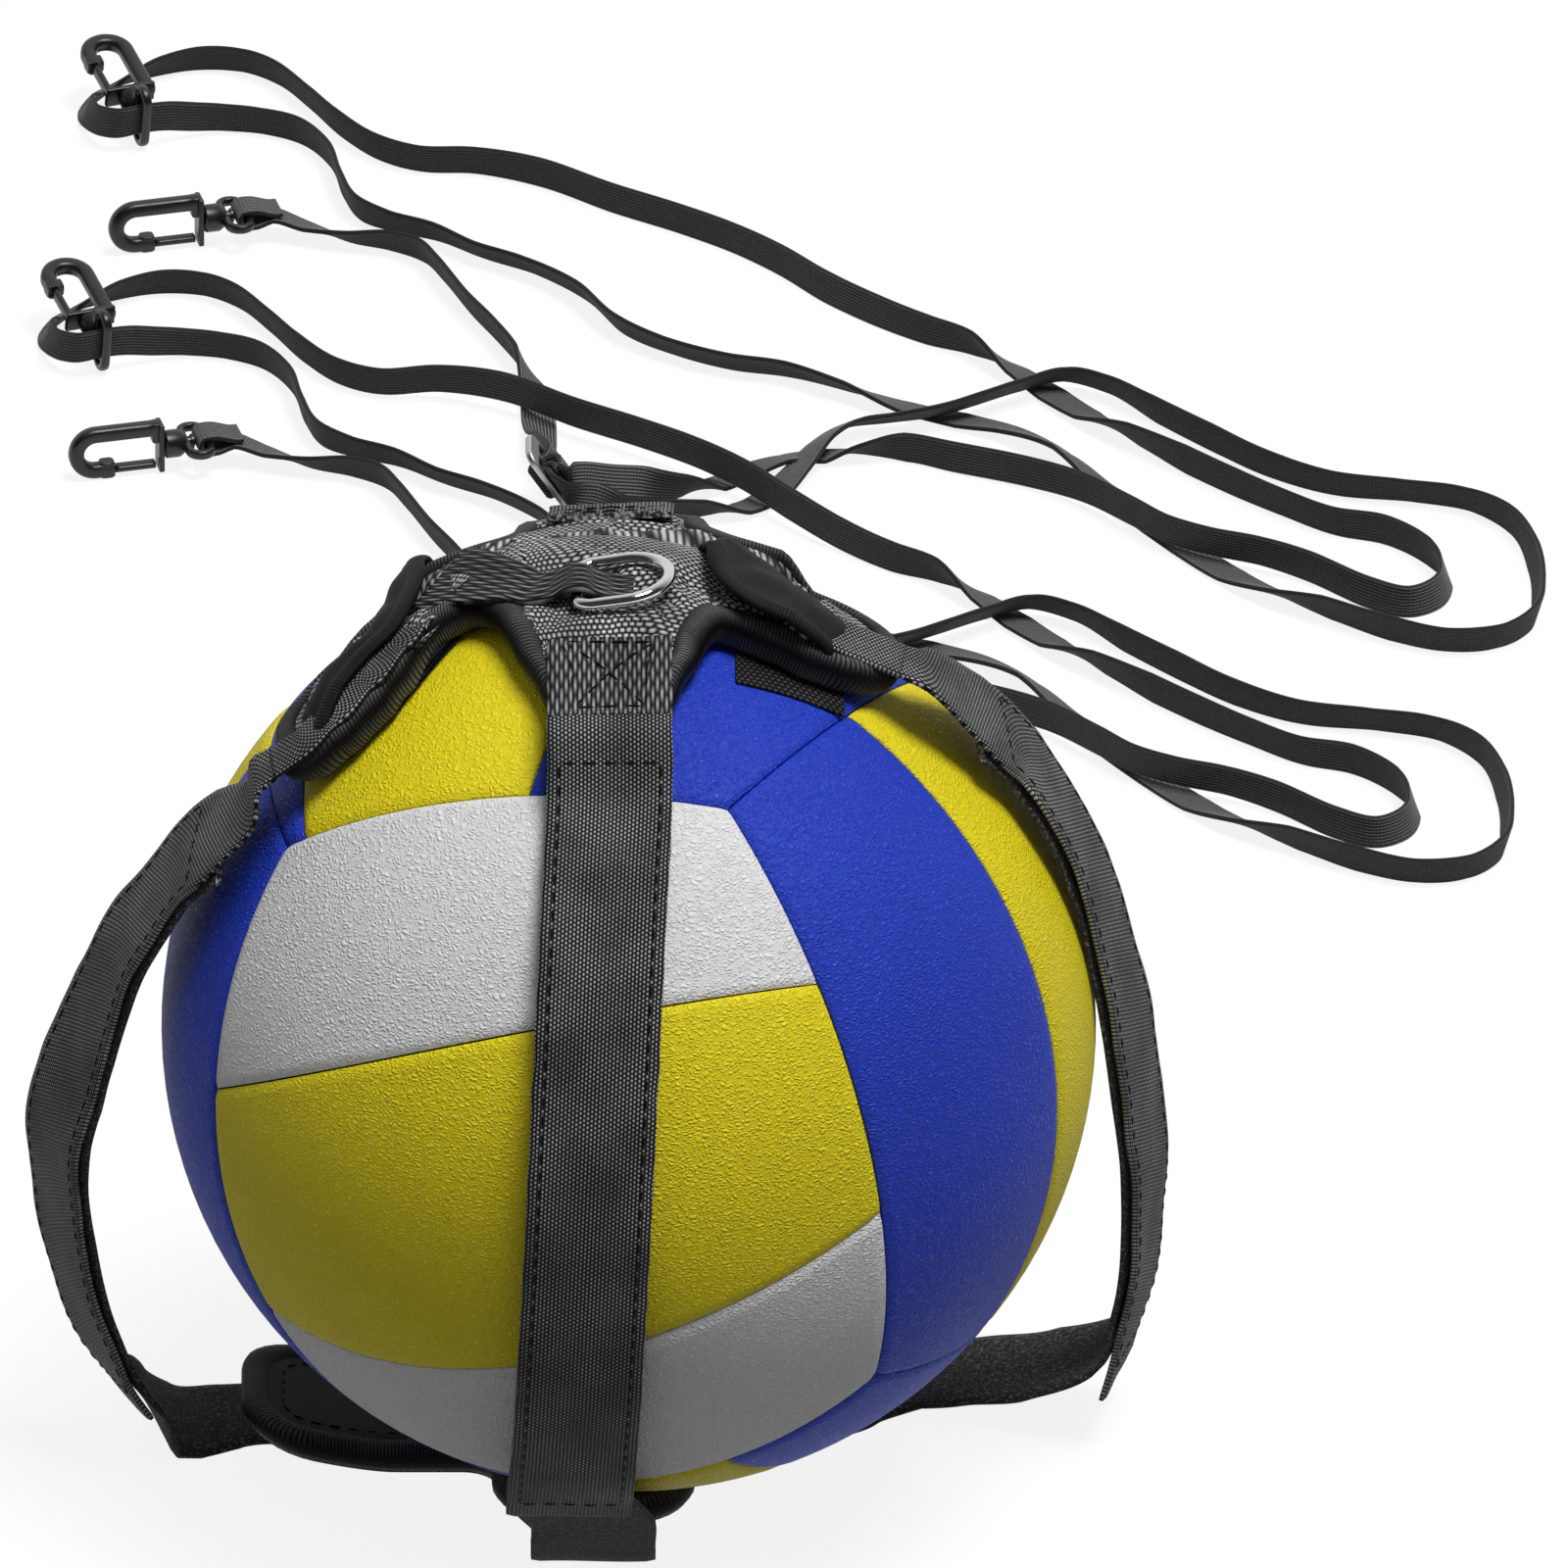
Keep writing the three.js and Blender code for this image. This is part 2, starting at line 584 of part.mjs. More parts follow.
const flapCurves = {};
const leadShare = 0.006;
const openShare = 0.14;
for (const name of Object.keys(azimuthOf)) {
  const reach = topArms[name] - fit;
  const rootRows = Array.from({ length: 8 }, (_, i) => {
    const along = THREE.MathUtils.lerp(rootStarts[name], reach, i / 7);
    return { point: rootPoint(name, along), across: rootAcross(name, along) };
  });
  place(`${name}_strap_root`, ribbon(rootRows, rootWidths[name], webbingThickness), nylonWebbing);
  const leads = [4 * fit, 2 * tapeThickness, tapeThickness + crotchRadius / 2]
    .map((past) => rootPoint(name, topArms[name] + past));
  const curve = new THREE.CatmullRomCurve3([...leads, ...flapPoints(name)], false, 'centripetal');
  flapCurves[name] = curve;
  const stations = Array.from({ length: strapSteps + 1 }, (_, i) => {
    const share = i < 2 ? i * leadShare : i / strapSteps;
    const width = THREE.MathUtils.lerp(rootWidths[name], webbingWidth, Math.min(1, share / openShare));
    return { point: curve.getPointAt(share), across: flapAcross(name, share), width };
  });
  place(`${name}_strap_flap`, ribbon(stations, webbingWidth, webbingThickness), nylonWebbing);
}

// Inner straps: they rise from under the base pad, just inside the outer straps.
function innerStations(name, from, to, count) {
  const curve = flapCurves[name];
  return Array.from({ length: count }, (_, i) => {
    const share = THREE.MathUtils.lerp(from, to, i / (count - 1));
    const across = flapAcross(name, share);
    const tangent = curve.getTangentAt(share);
    const inward = new THREE.Vector3().crossVectors(tangent, across).normalize();
    const point = curve.getPointAt(share);
    if (inward.dot(point.clone().sub(ballCentre)) > 0) inward.negate();
    point.addScaledVector(inward, webbingThickness + hookLoopGap);
    return { point, across };
  });
}

const floorLine = webbingThickness / 2;
const crossing = webbingWidth / 2 + 3 * fit;
// Rows of each tail, as shares of the webbing's width: how far past the base pad's edge, the rise off the
// floor, and the drift to the back.
const tailShares = {
  left: [[0.714, 0.25, -0.1], [0.43, 0.05, 0.12], [0.143, 0, 0.26], [-0.286, 0, 0.3], [-0.8, 0, 0.14],
    [-1.3, 0, 0]],
  right: [[1.96, 0.39, 0.4], [1.5, 0.22, 0.62], [1, 0.06, 0.8], [0.43, 0, 0.6], [0.107, 0, 0.36],
    [-0.286, 0, 0.08], [-0.64, 0, 0]],
};
const tailStartShares = { left: 1, right: 0.965 };
for (const name of ['left', 'right']) {
  const upper = innerStations(name, 0.12, tailStartShares[name], 14);
  const outward = name === 'right' ? 1 : -1;
  const reachOut = baseArms[name];
  const past = tailShares[name].map((row) => row.map((share) => share * webbingWidth));
  const rows = [...past, [crossing - reachOut, 0, 0]];
  const tail = rows.map(([step, rise, drift]) => ({
    point: new THREE.Vector3(
      padCentre.x + outward * (reachOut + step), padCentre.y + drift, floorLine + rise),
    across: acrossOf(azimuthOf[name]) }));
  const stations = [...upper, ...tail];
  place(`${name}_inner_strap`, ribbon(stations, webbingWidth, webbingThickness, 2), nylonWebbing);
}

// The long inner strap runs from the front, under the pad, to the back.
const underFront = innerStations('front', 0.12, 0.985, 13);
const underBack = innerStations('back', 0.12, 0.985, 13).reverse();
// Rows of each end, as shares of the webbing's width: how far past the base pad's edge, and the rise.
const frontEndShares = [[1.25, 0.72], [0.964, 0.39], [0.714, 0.14], [0.5, 0.018], [0.32, 0], [-0.43, 0]];
const backEndShares = [[0.4, 0.7], [0.3, 0.4], [0.186, 0.15], [0.093, 0.018], [0.043, 0], [-0.17, 0]];
const inMillimetres = ([past, rise]) => [past * webbingWidth, rise * webbingWidth];
const underTail = [
  ...frontEndShares.map(inMillimetres).map(([past, rise]) => [-(baseArms.front + past), rise]), [0, 0],
  ...backEndShares.map(inMillimetres).map(([past, rise]) => [baseArms.back + past, rise]).reverse(),
].map(([y, z]) => ({
  point: new THREE.Vector3(padCentre.x, padCentre.y + y, floorLine + z), across: acrossOf(-90) }));
underBack.forEach((station) => station.across.negate());
place('front_back_inner_strap', ribbon([...underFront, ...underTail, ...underBack], webbingWidth,
  webbingThickness, 2), nylonWebbing);

// The tunnel: a strip over the pad's top, raised over the D-ring's straight bar.
const ringBarX = -7;
const ringBarY = -17;
const stripHeight = padTop + sewnGap + tunnelThickness / 2;
const barHeight = padTop + sewnGap + ringWire / 2;
function onPad(x, y, height) {
  return overBall(new THREE.Vector2(x, y), height);
}
const hump = barHeight + ringWire / 2 + fit + tunnelThickness / 2;
// Rows of the strip, from its left end, which lies towards the back, over the bar to its short right end:
// way along it and drift to the back as shares of its length, and the share of the rise over the bar.
const tunnelShares = [[-0.53, 0.34, 0], [-0.43, 0.26, 0], [-0.34, 0.185, 0], [-0.25, 0.11, 0],
  [-0.165, 0.045, 0], [-0.08, 0.01, 0.45], [-0.027, 0, 1], [0.027, 0, 1], [0.08, 0, 0.45], [0.155, 0, 0],
  [0.21, 0, 0]];
place('ring_tunnel', ribbon(tunnelShares.map(([way, drift, rise]) => ({
  point: onPad(ringBarX + way * tunnelLength, ringBarY + drift * tunnelLength,
    THREE.MathUtils.lerp(stripHeight, hump, rise)),
  across: new THREE.Vector3(0, 1, 0) })), tunnelWidth, tunnelThickness), nylonWebbing);

// The D-ring: its bar lies along Y in the tunnel, its bow lies to the right.
const ringHalf = (ringInnerWidth + ringWire) / 2;
const ringDepth = ringInnerDepth + ringWire;
const bowStart = ringDepth - ringHalf;
const bow = Array.from({ length: 7 }, (_, i) => {
  const angle = (90 - 180 * (i + 1) / 8) * degrees;
  return [bowStart + ringHalf * Math.cos(angle), ringHalf * Math.sin(angle)];
});
const upperHalf = [[0, 0], [0, ringHalf - ringWire], [ringWire, ringHalf], [bowStart, ringHalf]];
const lowerHalf = [[bowStart, -ringHalf], [ringWire, -ringHalf], [0, -(ringHalf - ringWire)]];
const ringOutline = [...upperHalf, ...bow, ...lowerHalf];
const ringRings = ringOutline.map(([x, y], i) => {
  const before = ringOutline[(i + ringOutline.length - 1) % ringOutline.length];
  const after = ringOutline[(i + 1) % ringOutline.length];
  const tangent = new THREE.Vector3(after[0] - before[0], after[1] - before[1], 0).normalize();
  const outward = new THREE.Vector3(tangent.y, -tangent.x, 0);
  return Array.from({ length: rodSides }, (_, k) => {
    const angle = 2 * Math.PI * k / rodSides;
    return new THREE.Vector3(x, y, ringWire / 2 * Math.sin(angle))
      .addScaledVector(outward, ringWire / 2 * Math.cos(angle));
  });
});
const ringGroup = new THREE.Group();
ringGroup.position.copy(onPad(ringBarX, ringBarY, barHeight));
ringGroup.rotation.y = -ringRest * degrees;
part.add(ringGroup);
place('d_ring', loft(ringRings, true), chrome, ringGroup);

// The elastic straps lie behind the ball. Rows of the route: x, y, lean in degrees, lift off the floor.
const bandRoute = [
  [11, 466, -24, 0.3], [19, 473, -84, 0], [27, 480, -82, 0], [35, 484, -70, 0], [44, 487, -82, 0],
  [53, 487, -50, 0], [63, 486, -10, 0], [74, 481, -4, 0.2], [91, 473, -4, 0.6], [104, 464, -6, 1.2],
  [116, 450, -6, 2], [124, 441, -10, 2.2], [134, 435, -12, 2.2], [145, 431.5, -10, 1.6], [156, 426, -2, 0.6],
  [170, 414, 2, 0], [179, 409.5, 0, 0], [185.5, 414, 10, 0], [187.5, 423, 20, 0], [184, 434, 6, 0],
  [174, 445, 6, 0], [162, 449.5, 12, 0], [150, 459, 12, 0], [139, 469, 8, 0], [128, 480, 8, 0],
  [116, 493, 30, 0], [105, 507, 78, 0], [97, 518, 84, 0], [89, 528, 70, 0], [79, 538, 20, 0],
  [68, 545, 4, 0], [57, 554, -2, 0], [45, 566, -4, 0], [34, 580, 0, 0], [23, 591, 4, 0],
  [10, 601, 6, 0], [-5, 611, 6, 0], [-22, 624, 8, 0], [-37, 630, 16, 0], [-50, 631, 18, 0],
  [-60, 637, 16, 0], [-69, 649, 14, 0], [-76, 662, 18, 0], [-84, 675, 20, 0], [-92, 681, 24, 0],
  [-102, 682, 24, 0], [-112, 678, 32, 0], [-119, 673, 48, 0], [-124, 667.5, 58, 0], [-127, 660, 46, 0.2],
  [-127.5, 652, 14, 1.4], [-124.5, 644.6, -6, 2.8], [-120, 641.6, -10, 3.8], [-115, 643.4, -11, 4],
  [-109.4, 645.9, -11, 3.4], [-103, 648.6, -12, 1.8], [-96, 650.6, -16, 0.6], [-87, 650, -18, 0],
  [-78, 645, -14, 0], [-71, 633, -12, 0], [-68, 618, -12, 0], [-64, 606, -18, 0], [-56, 599.6, -30, 0],
  [-46, 594.6, -34, 0], [-36, 586, -40, 0], [-24, 578, -40, 0], [-12, 565, -34, 0], [-3, 548, -32, 0],
  [8, 538, -38, 0], [22, 530, -38, 0], [36, 526, -40, 0], [50, 518, -50, 0], [63, 510.5, -76, 0],
  [76, 505, -84, 0], [88, 498, -70, 0], [99, 486, -50, 0], [108, 471, -60, 0], [117, 457, -80, 0],
  [128, 441.5, -86, 0], [138, 428, -84, 0], [148, 417, -60, 0], [160, 407, -26, 0], [174, 397, -18, 0],
  [188, 391, -24, 0], [200, 393, -24, 0], [207.5, 402, -16, 0], [209, 416, -18, 0], [208, 432, -14, 0],
  [203, 450, 6, 0], [193, 460.5, 24, 0], [179, 465, 28, 0], [162, 468.5, 22, 0], [147, 478, 14, 0],
  [134, 491, 10, 0], [121, 505, 14, 0], [110, 517, 32, 0.6], [100, 520.6, 44, 1.7], [89, 515, 44, 1.6],
  [80, 508.6, 44, 1.7], [71, 503, 46, 1.7], [60, 501, 52, 1], [51, 498, 56, 1.4], [44, 489, 56, 1.8],
  [38, 478, 70, 0.8], [32, 468, 84, 0], [25, 460.5, 80, 0], [16, 456.6, 38, 0], [7, 455.4, 32, 0.4],
  [-2, 454.6, 32, 1.4],
];
const leadRoute = [
  [-20.5, 481, 26, 3], [-21.4, 492, 60, 0.6], [-22, 505, 84, 0], [-23, 518, 60, 0], [-26.5, 531, 18, 0],
  [-32, 545, 18, 0], [-38, 558, 20, 0], [-45, 576, 20, 0], [-49.5, 585, 22, 0], [-57, 590, 30, 0],
  [-67, 593.4, 50, 0], [-76, 597, 72, 1.8],
];

function floorStations(rows, shift, lifts = []) {
  const flat = rows.map(([x, y]) => new THREE.Vector3(x, y, 0));
  return rows.map(([x, y, lean, lift], i) => {
    const along = flat[Math.min(i + 1, rows.length - 1)].clone().sub(flat[Math.max(i - 1, 0)]).normalize();
    const [cos, sin] = [Math.cos(lean * degrees), Math.sin(lean * degrees)];
    const height = (bandWidth * Math.abs(cos) + bandThickness * Math.abs(sin)) / 2 + lift + (lifts[i] || 0);
    return {
      point: new THREE.Vector3(x, y, height).add(shift),
      across: new THREE.Vector3(-along.y * sin, along.x * sin, cos),
    };
  });
}

// The slider stands on edge and leans; the strap passes from its front to its back.
const sliderPlace = new THREE.Vector3(-19, 461.5, 9.7);
const sliderLean = 33.5 * degrees;
const sliderAcross = new THREE.Vector3(-Math.sin(sliderLean), 0, Math.cos(sliderLean));
const sliderFace = new THREE.Vector3(-Math.cos(sliderLean), 0, -Math.sin(sliderLean));
function atSlider(forward, out, shift) {
  const point = sliderPlace.clone().addScaledVector(sliderFace, out).add(shift);
  point.y -= forward;
  return { point, across: sliderAcross.clone() };
}
const besideBar = sliderCentreBar / 2 + fit + bandThickness / 2;
const besideBand = besideBar + bandThickness + fit;
const underBar = barThickness / 2 + fit + bandThickness / 2;
const outerBar = sliderCentreBar / 2 + sliderSlot + sliderBar / 2;
const behindBar = underBar + 1.4 * bandThickness;
const behindBand = underBar + 2.7 * bandThickness;
const sewnLoop = [[outerBar + bandThickness / 3, -behindBar], [outerBar - 1.3 * bandThickness, -behindBar],
  [besideBar + 0.4 * bandThickness, -1.8 * bandThickness], [besideBar, -bandThickness / 2],
  [besideBar * 0.9, besideBar * 0.7], [0, besideBar + 0.1 * bandThickness],
  [-besideBar * 0.9, besideBar * 0.7], [-besideBar, -0.67 * bandThickness],
  [-besideBar * 0.6, -2.5 * bandThickness], [besideBar, -(underBar + 2.5 * bandThickness)],
  [outerBar - 0.8 * bandThickness, -behindBand], [outerBar + 1.2 * bandThickness, -behindBand]];
const passing = [[outerBar + 1.7 * bandThickness, -underBar - 0.6 * bandThickness],
  [outerBar - 0.17 * bandThickness, -underBar - 0.13 * bandThickness],
  [outerBar - 1.5 * bandThickness, -underBar * 0.6], [besideBand + 0.1 * bandThickness, bandThickness / 4],
  [besideBand * 0.8, besideBand * 0.75], [0, besideBand + 0.17 * bandThickness],
  [-besideBand * 0.8, besideBand * 0.75], [-besideBand - 0.1 * bandThickness, bandThickness / 4],
  [-outerBar + 1.5 * bandThickness, -underBar * 0.6], [-outerBar + bandThickness / 2, -underBar],
  [-outerBar - 1.7 * bandThickness, -underBar]];
const sewnLead = [[-11, 456.4, 11.4], [-5, 459.6, 9], [2, 463.4, 6.6]];
const passLead = [[-9, 452.4, 8], [-13.6, 451.6, 9.4]];

// The hooks' places: the eye's centre, and the direction from the eye to the hook's nose.
const hookPlaces = {
  end: {
    eye: new THREE.Vector3(-93, 597.4, 6.6), nose: new THREE.Vector3(-0.969, -0.245, 0), eyeFlat: true },
  loop: {
    eye: new THREE.Vector3(-115, 644, 8.5), nose: new THREE.Vector3(-0.35, 0.933, 0.2), eyeFlat: false },
};
const up = new THREE.Vector3(0, 0, 1);
function hookBasis({ nose, eyeFlat }) {
  const x = nose.clone().normalize();
  if (eyeFlat) return [x, new THREE.Vector3().crossVectors(up, x).normalize(), up.clone()];
  const z = new THREE.Vector3().crossVectors(x, up).normalize();
  return [x, new THREE.Vector3().crossVectors(z, x), z];
}

// The strap's end goes round the eye's far bar and back onto itself, where it is sewn.
const eyeInside = eyeWidth / 2 - eyeWire;
const besideEye = -eyeInside + fit + 0.625 * bandThickness;
const overEye = eyeHeight / 2 + fit + 0.58 * bandThickness;
const eyeEdge = eyeWidth / 2;
const eyeLoop = [[-eyeWidth - 1.3 * bandThickness, -0.9 * bandThickness],
  [-eyeEdge - 0.9 * bandThickness, -overEye + 0.08 * bandThickness], [-eyeEdge + bandThickness, -overEye],
  [-eyeInside + 0.4 * bandThickness, -overEye + 0.125 * bandThickness], [besideEye, -overEye / 2],
  [besideEye, overEye / 2], [-eyeInside + 0.4 * bandThickness, overEye - 0.125 * bandThickness],
  [-eyeEdge + bandThickness, overEye], [-eyeEdge - 0.9 * bandThickness, overEye - 0.08 * bandThickness],
  [-eyeWidth - 1.3 * bandThickness, 0.58 * bandThickness],
  [-eyeWidth - 3 * bandThickness, bandThickness / 2]];
function eyeLoopStations(shift) {
  const [x, y, z] = hookBasis(hookPlaces.end);
  return eyeLoop.map(([along, rise]) => ({
    point: hookPlaces.end.eye.clone().addScaledVector(x, along).addScaledVector(z, rise).add(shift),
    across: y.clone(),
  }));
}

function bandStations(shift, lifts) {
  const bare = (row) => ({ point: new THREE.Vector3(...row).add(shift), across: sliderAcross.clone() });
  const stations = [
    ...sewnLoop.map(([forward, out]) => atSlider(forward, out, shift)),
    ...sewnLead.map(bare),
    ...floorStations(bandRoute, shift, lifts),
    ...passLead.map(bare),
    ...passing.map(([forward, out]) => atSlider(forward, out, shift)),
    ...floorStations(leadRoute, shift),
    ...eyeLoopStations(shift),
  ];
  stations.forEach((station, i) => {
    if (i > 0 && station.across.dot(stations[i - 1].across) < 0) station.across.negate();
  });
  return stations;
}

// The slider: a flat plate with two slots and round corners, with its bars along the strap's width.
function sliderPlate() {
  const half = sliderLength / 2;
  const wide = outerBar + sliderBar / 2;
  const shape = new THREE.Shape();
  shape.absarc(wide - sliderCorner, half - sliderCorner, sliderCorner, 0, Math.PI / 2);
  shape.absarc(-wide + sliderCorner, half - sliderCorner, sliderCorner, Math.PI / 2, Math.PI);
  shape.absarc(-wide + sliderCorner, -half + sliderCorner, sliderCorner, Math.PI, Math.PI * 1.5);
  shape.absarc(wide - sliderCorner, -half + sliderCorner, sliderCorner, Math.PI * 1.5, Math.PI * 2);
  const settings = { depth: barThickness, bevelEnabled: false, curveSegments: 5 };
  const plate = new THREE.ExtrudeGeometry(shape, settings);
  plate.translate(0, 0, -barThickness / 2);
  const slots = [-1, 1].map((side) => {
    const slot = new THREE.BoxGeometry(sliderSlot, sliderSlotLength, barThickness * 2);
    slot.translate(side * (sliderCentreBar + sliderSlot) / 2, 0, 0);
    return slot;
  });
  return cut(plate, ...slots);
}

// The hook's rod: a straight leg, the round nose and the tip that the gate closes against.
function hookRod() {
  const points = [[collarStart + collarThickness / 2, legOffset]];
  const noseCentre = hookReach - legOffset - rodRadius;
  for (let i = 0; i <= 8; i += 1) {
    const angle = (90 - 180 * i / 8) * degrees;
    points.push([noseCentre + legOffset * Math.cos(angle), legOffset * Math.sin(angle)]);
  }
  points.push([hookReach - hookTip, -legOffset]);
  const rings = points.map(([x, z], i) => {
    const before = points[Math.max(0, i - 1)];
    const after = points[Math.min(points.length - 1, i + 1)];
    const tangent = new THREE.Vector3(after[0] - before[0], 0, after[1] - before[1]).normalize();
    const outward = new THREE.Vector3(-tangent.z, 0, tangent.x);
    return Array.from({ length: rodSides }, (_, k) => {
      const angle = 2 * Math.PI * (k + 0.5) / rodSides;
      return new THREE.Vector3(x, rodRadius * Math.sin(angle), z)
        .addScaledVector(outward, rodRadius * Math.cos(angle));
    });
  });
  return loft(rings);
}

function alongShank(radius, from, to, sides = 14) {
  const geometry = new THREE.CylinderGeometry(radius, radius, to - from, sides);
  geometry.rotateZ(-Math.PI / 2);
  geometry.translate((from + to) / 2, 0, 0);
  return geometry;
}

function hookBody() {
  const collar = new THREE.BoxGeometry(collarThickness, collarWidth, collarHeight);
  collar.translate(collarStart + collarThickness / 2, 0, 0);
  const headStart = eyeInside - fit - stemHeadThickness;
  return join(hookRod(), collar,
    alongShank(stemRadius, headStart, collarStart + collarThickness / 2),
    alongShank(stemHead, headStart, headStart + stemHeadThickness));
}

// The swivel eye: an oblong ring with a barrel on its side, bored for the hook's stem.
function swivelEye() {
  const shape = new THREE.Shape();
  const trace = (path, halfWidth, halfLength) => {
    path.absarc(0, halfLength - halfWidth, halfWidth, 0, Math.PI);
    path.absarc(0, -halfLength + halfWidth, halfWidth, Math.PI, Math.PI * 2);
  };
  trace(shape, eyeWidth / 2, eyeLength / 2);
  const hole = new THREE.Path();
  trace(hole, eyeInside, eyeLength / 2 - eyeWire);
  shape.holes.push(hole);
  const settings = { depth: eyeHeight, bevelEnabled: false, curveSegments: 6 };
  const oblong = new THREE.ExtrudeGeometry(shape, settings);
  oblong.translate(0, 0, -eyeHeight / 2);
  const barrel = alongShank(barrelRadius, eyeInside + eyeWire / 2, collarStart - fit, 16);
  return cut(join(oblong, barrel), alongShank(stemRadius + stemClearance, 0, collarStart + fit));
}

// The gate: a flexing lever with a round root at the collar, closing against the tip.
const gateRoot = collarStart + collarThickness + fit + gateThickness / 2;
function hookGate() {
  const radius = gateThickness / 2;
  const end = hookReach - hookTip - fit;
  const shape = new THREE.Shape();
  shape.absarc(gateRoot, -legOffset, radius, Math.PI / 2, Math.PI * 1.5);
  shape.lineTo(end, -legOffset - radius);
  shape.lineTo(end, -legOffset + radius);
  shape.closePath();
  const settings = { depth: gateWidth, bevelEnabled: false, curveSegments: 6 };
  const lever = new THREE.ExtrudeGeometry(shape, settings);
  lever.rotateX(Math.PI / 2);
  lever.translate(0, gateWidth / 2, 0);
  return lever;
}

const bodyGeometry = hookBody();
const eyeGeometry = swivelEye();
const gateGeometry = hookGate();
const plateGeometry = sliderPlate();
const nearShift = new THREE.Vector3(-8.3, -113, 0);
const nearLifts = { 31: 0.8, 32: 2.4, 33: 2.9, 34: 2.9, 35: 2.8, 36: 2.8, 37: 2.8, 38: 1.8, 39: 0.5 };
const sets = [
  { name: 'far', shift: new THREE.Vector3(), lifts: [] },
  { name: 'near', shift: nearShift, lifts: nearLifts },
];
for (const { name, shift, lifts } of sets) {
  place(`${name}_elastic_band`, ribbon(bandStations(shift, lifts), bandWidth, bandThickness), elastic);
  const slider = place(`${name}_slider`, plateGeometry, sliderMetal);
  slider.matrixAutoUpdate = false;
  slider.matrix.makeBasis(new THREE.Vector3(0, -1, 0), sliderAcross,
    new THREE.Vector3().crossVectors(new THREE.Vector3(0, -1, 0), sliderAcross));
  slider.matrix.setPosition(sliderPlace.clone().add(shift));
  for (const [end, hook] of Object.entries(hookPlaces)) {
    const group = new THREE.Group();
    group.matrixAutoUpdate = false;
    group.matrix.makeBasis(...hookBasis(hook));
    group.matrix.setPosition(hook.eye.clone().add(shift));
    part.add(group);
    place(`${name}_${end}_hook_eye`, eyeGeometry, hookPlastic, group);
    place(`${name}_${end}_hook_body`, bodyGeometry, hookPlastic, group);
    place(`${name}_${end}_hook_gate`, gateGeometry, hookPlastic, group);
  }
}

export default part;
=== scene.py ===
import json
import math
import bmesh
import bpy
from mathutils import Matrix, Vector, noise

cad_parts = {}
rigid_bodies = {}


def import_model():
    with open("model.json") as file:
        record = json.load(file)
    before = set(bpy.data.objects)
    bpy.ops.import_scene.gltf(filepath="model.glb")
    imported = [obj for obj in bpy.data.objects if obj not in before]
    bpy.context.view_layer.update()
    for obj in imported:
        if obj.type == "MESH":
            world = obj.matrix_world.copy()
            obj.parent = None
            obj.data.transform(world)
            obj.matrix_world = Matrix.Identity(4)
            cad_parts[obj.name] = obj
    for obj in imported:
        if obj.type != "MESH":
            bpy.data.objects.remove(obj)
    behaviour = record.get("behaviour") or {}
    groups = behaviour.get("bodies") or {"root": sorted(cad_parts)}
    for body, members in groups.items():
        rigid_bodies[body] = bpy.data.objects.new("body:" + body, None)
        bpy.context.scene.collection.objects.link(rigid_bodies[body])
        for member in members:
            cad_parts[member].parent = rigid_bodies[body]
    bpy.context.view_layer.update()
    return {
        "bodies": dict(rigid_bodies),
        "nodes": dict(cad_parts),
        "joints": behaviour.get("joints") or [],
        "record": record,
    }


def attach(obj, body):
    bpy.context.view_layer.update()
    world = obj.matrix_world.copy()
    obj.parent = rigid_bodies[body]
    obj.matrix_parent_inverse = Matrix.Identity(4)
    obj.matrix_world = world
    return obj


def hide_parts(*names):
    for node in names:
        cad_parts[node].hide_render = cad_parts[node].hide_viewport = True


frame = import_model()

# Volleyball spike trainer: a ball in a padded webbing harness, with two looped elastic straps behind it.
# Every length is in metres, worked out from millimetres.
mm = 0.001

# Camera: a long lens from the front, looking down at 28 degrees.
# The frame is 360 mm wide where it crosses the middle of the floor that shows.
camera_tilt = math.radians(28)
camera_reach = 16.0
frame_width = 360 * mm
frame_middle = Vector((34.9 * mm, 327.5 * mm, 0))


def linked(name, data):
    """A new object in the scene."""
    made = bpy.data.objects.new(name, data)
    bpy.context.scene.collection.objects.link(made)
    return made


camera_data = bpy.data.cameras.new("camera")
camera_data.lens = camera_data.sensor_width * camera_reach / frame_width
camera_data.clip_end = 4 * camera_reach
camera = linked("camera", camera_data)
camera.location = frame_middle + camera_reach * Vector((0, -math.cos(camera_tilt), math.sin(camera_tilt)))
camera.rotation_euler = (math.pi / 2 - camera_tilt, 0, 0)
bpy.context.scene.camera = camera
bpy.context.scene.view_settings.view_transform = "Standard"


def linear(code):
    """An sRGB colour as #rrggbb, turned to linear light."""
    parts = [int(code[i:i + 2], 16) / 255 for i in (1, 3, 5)]
    return tuple(p / 12.92 if p <= 0.04045 else ((p + 0.055) / 1.055) ** 2.4 for p in parts) + (1,)


def node(tree, kind, links=None, **settings):
    """Adds a node with its settings; a link is a socket of another node or a plain value."""
    new = tree.nodes.new(kind)
    for key, value in settings.items():
        setattr(new, key, value)
    for socket, value in (links or {}).items():
        if isinstance(value, bpy.types.NodeSocket):
            tree.links.new(value, new.inputs[socket])
        else:
            new.inputs[socket].default_value = value
    return new


def mapped(tree, value, low, high, to_low=0.0, to_high=1.0, **settings):
    """A value between low and high, mapped to another span and held at its ends."""
    span = {0: value, 1: low, 2: high, 3: to_low, 4: to_high}
    return node(tree, "ShaderNodeMapRange", span, **settings).outputs[0]


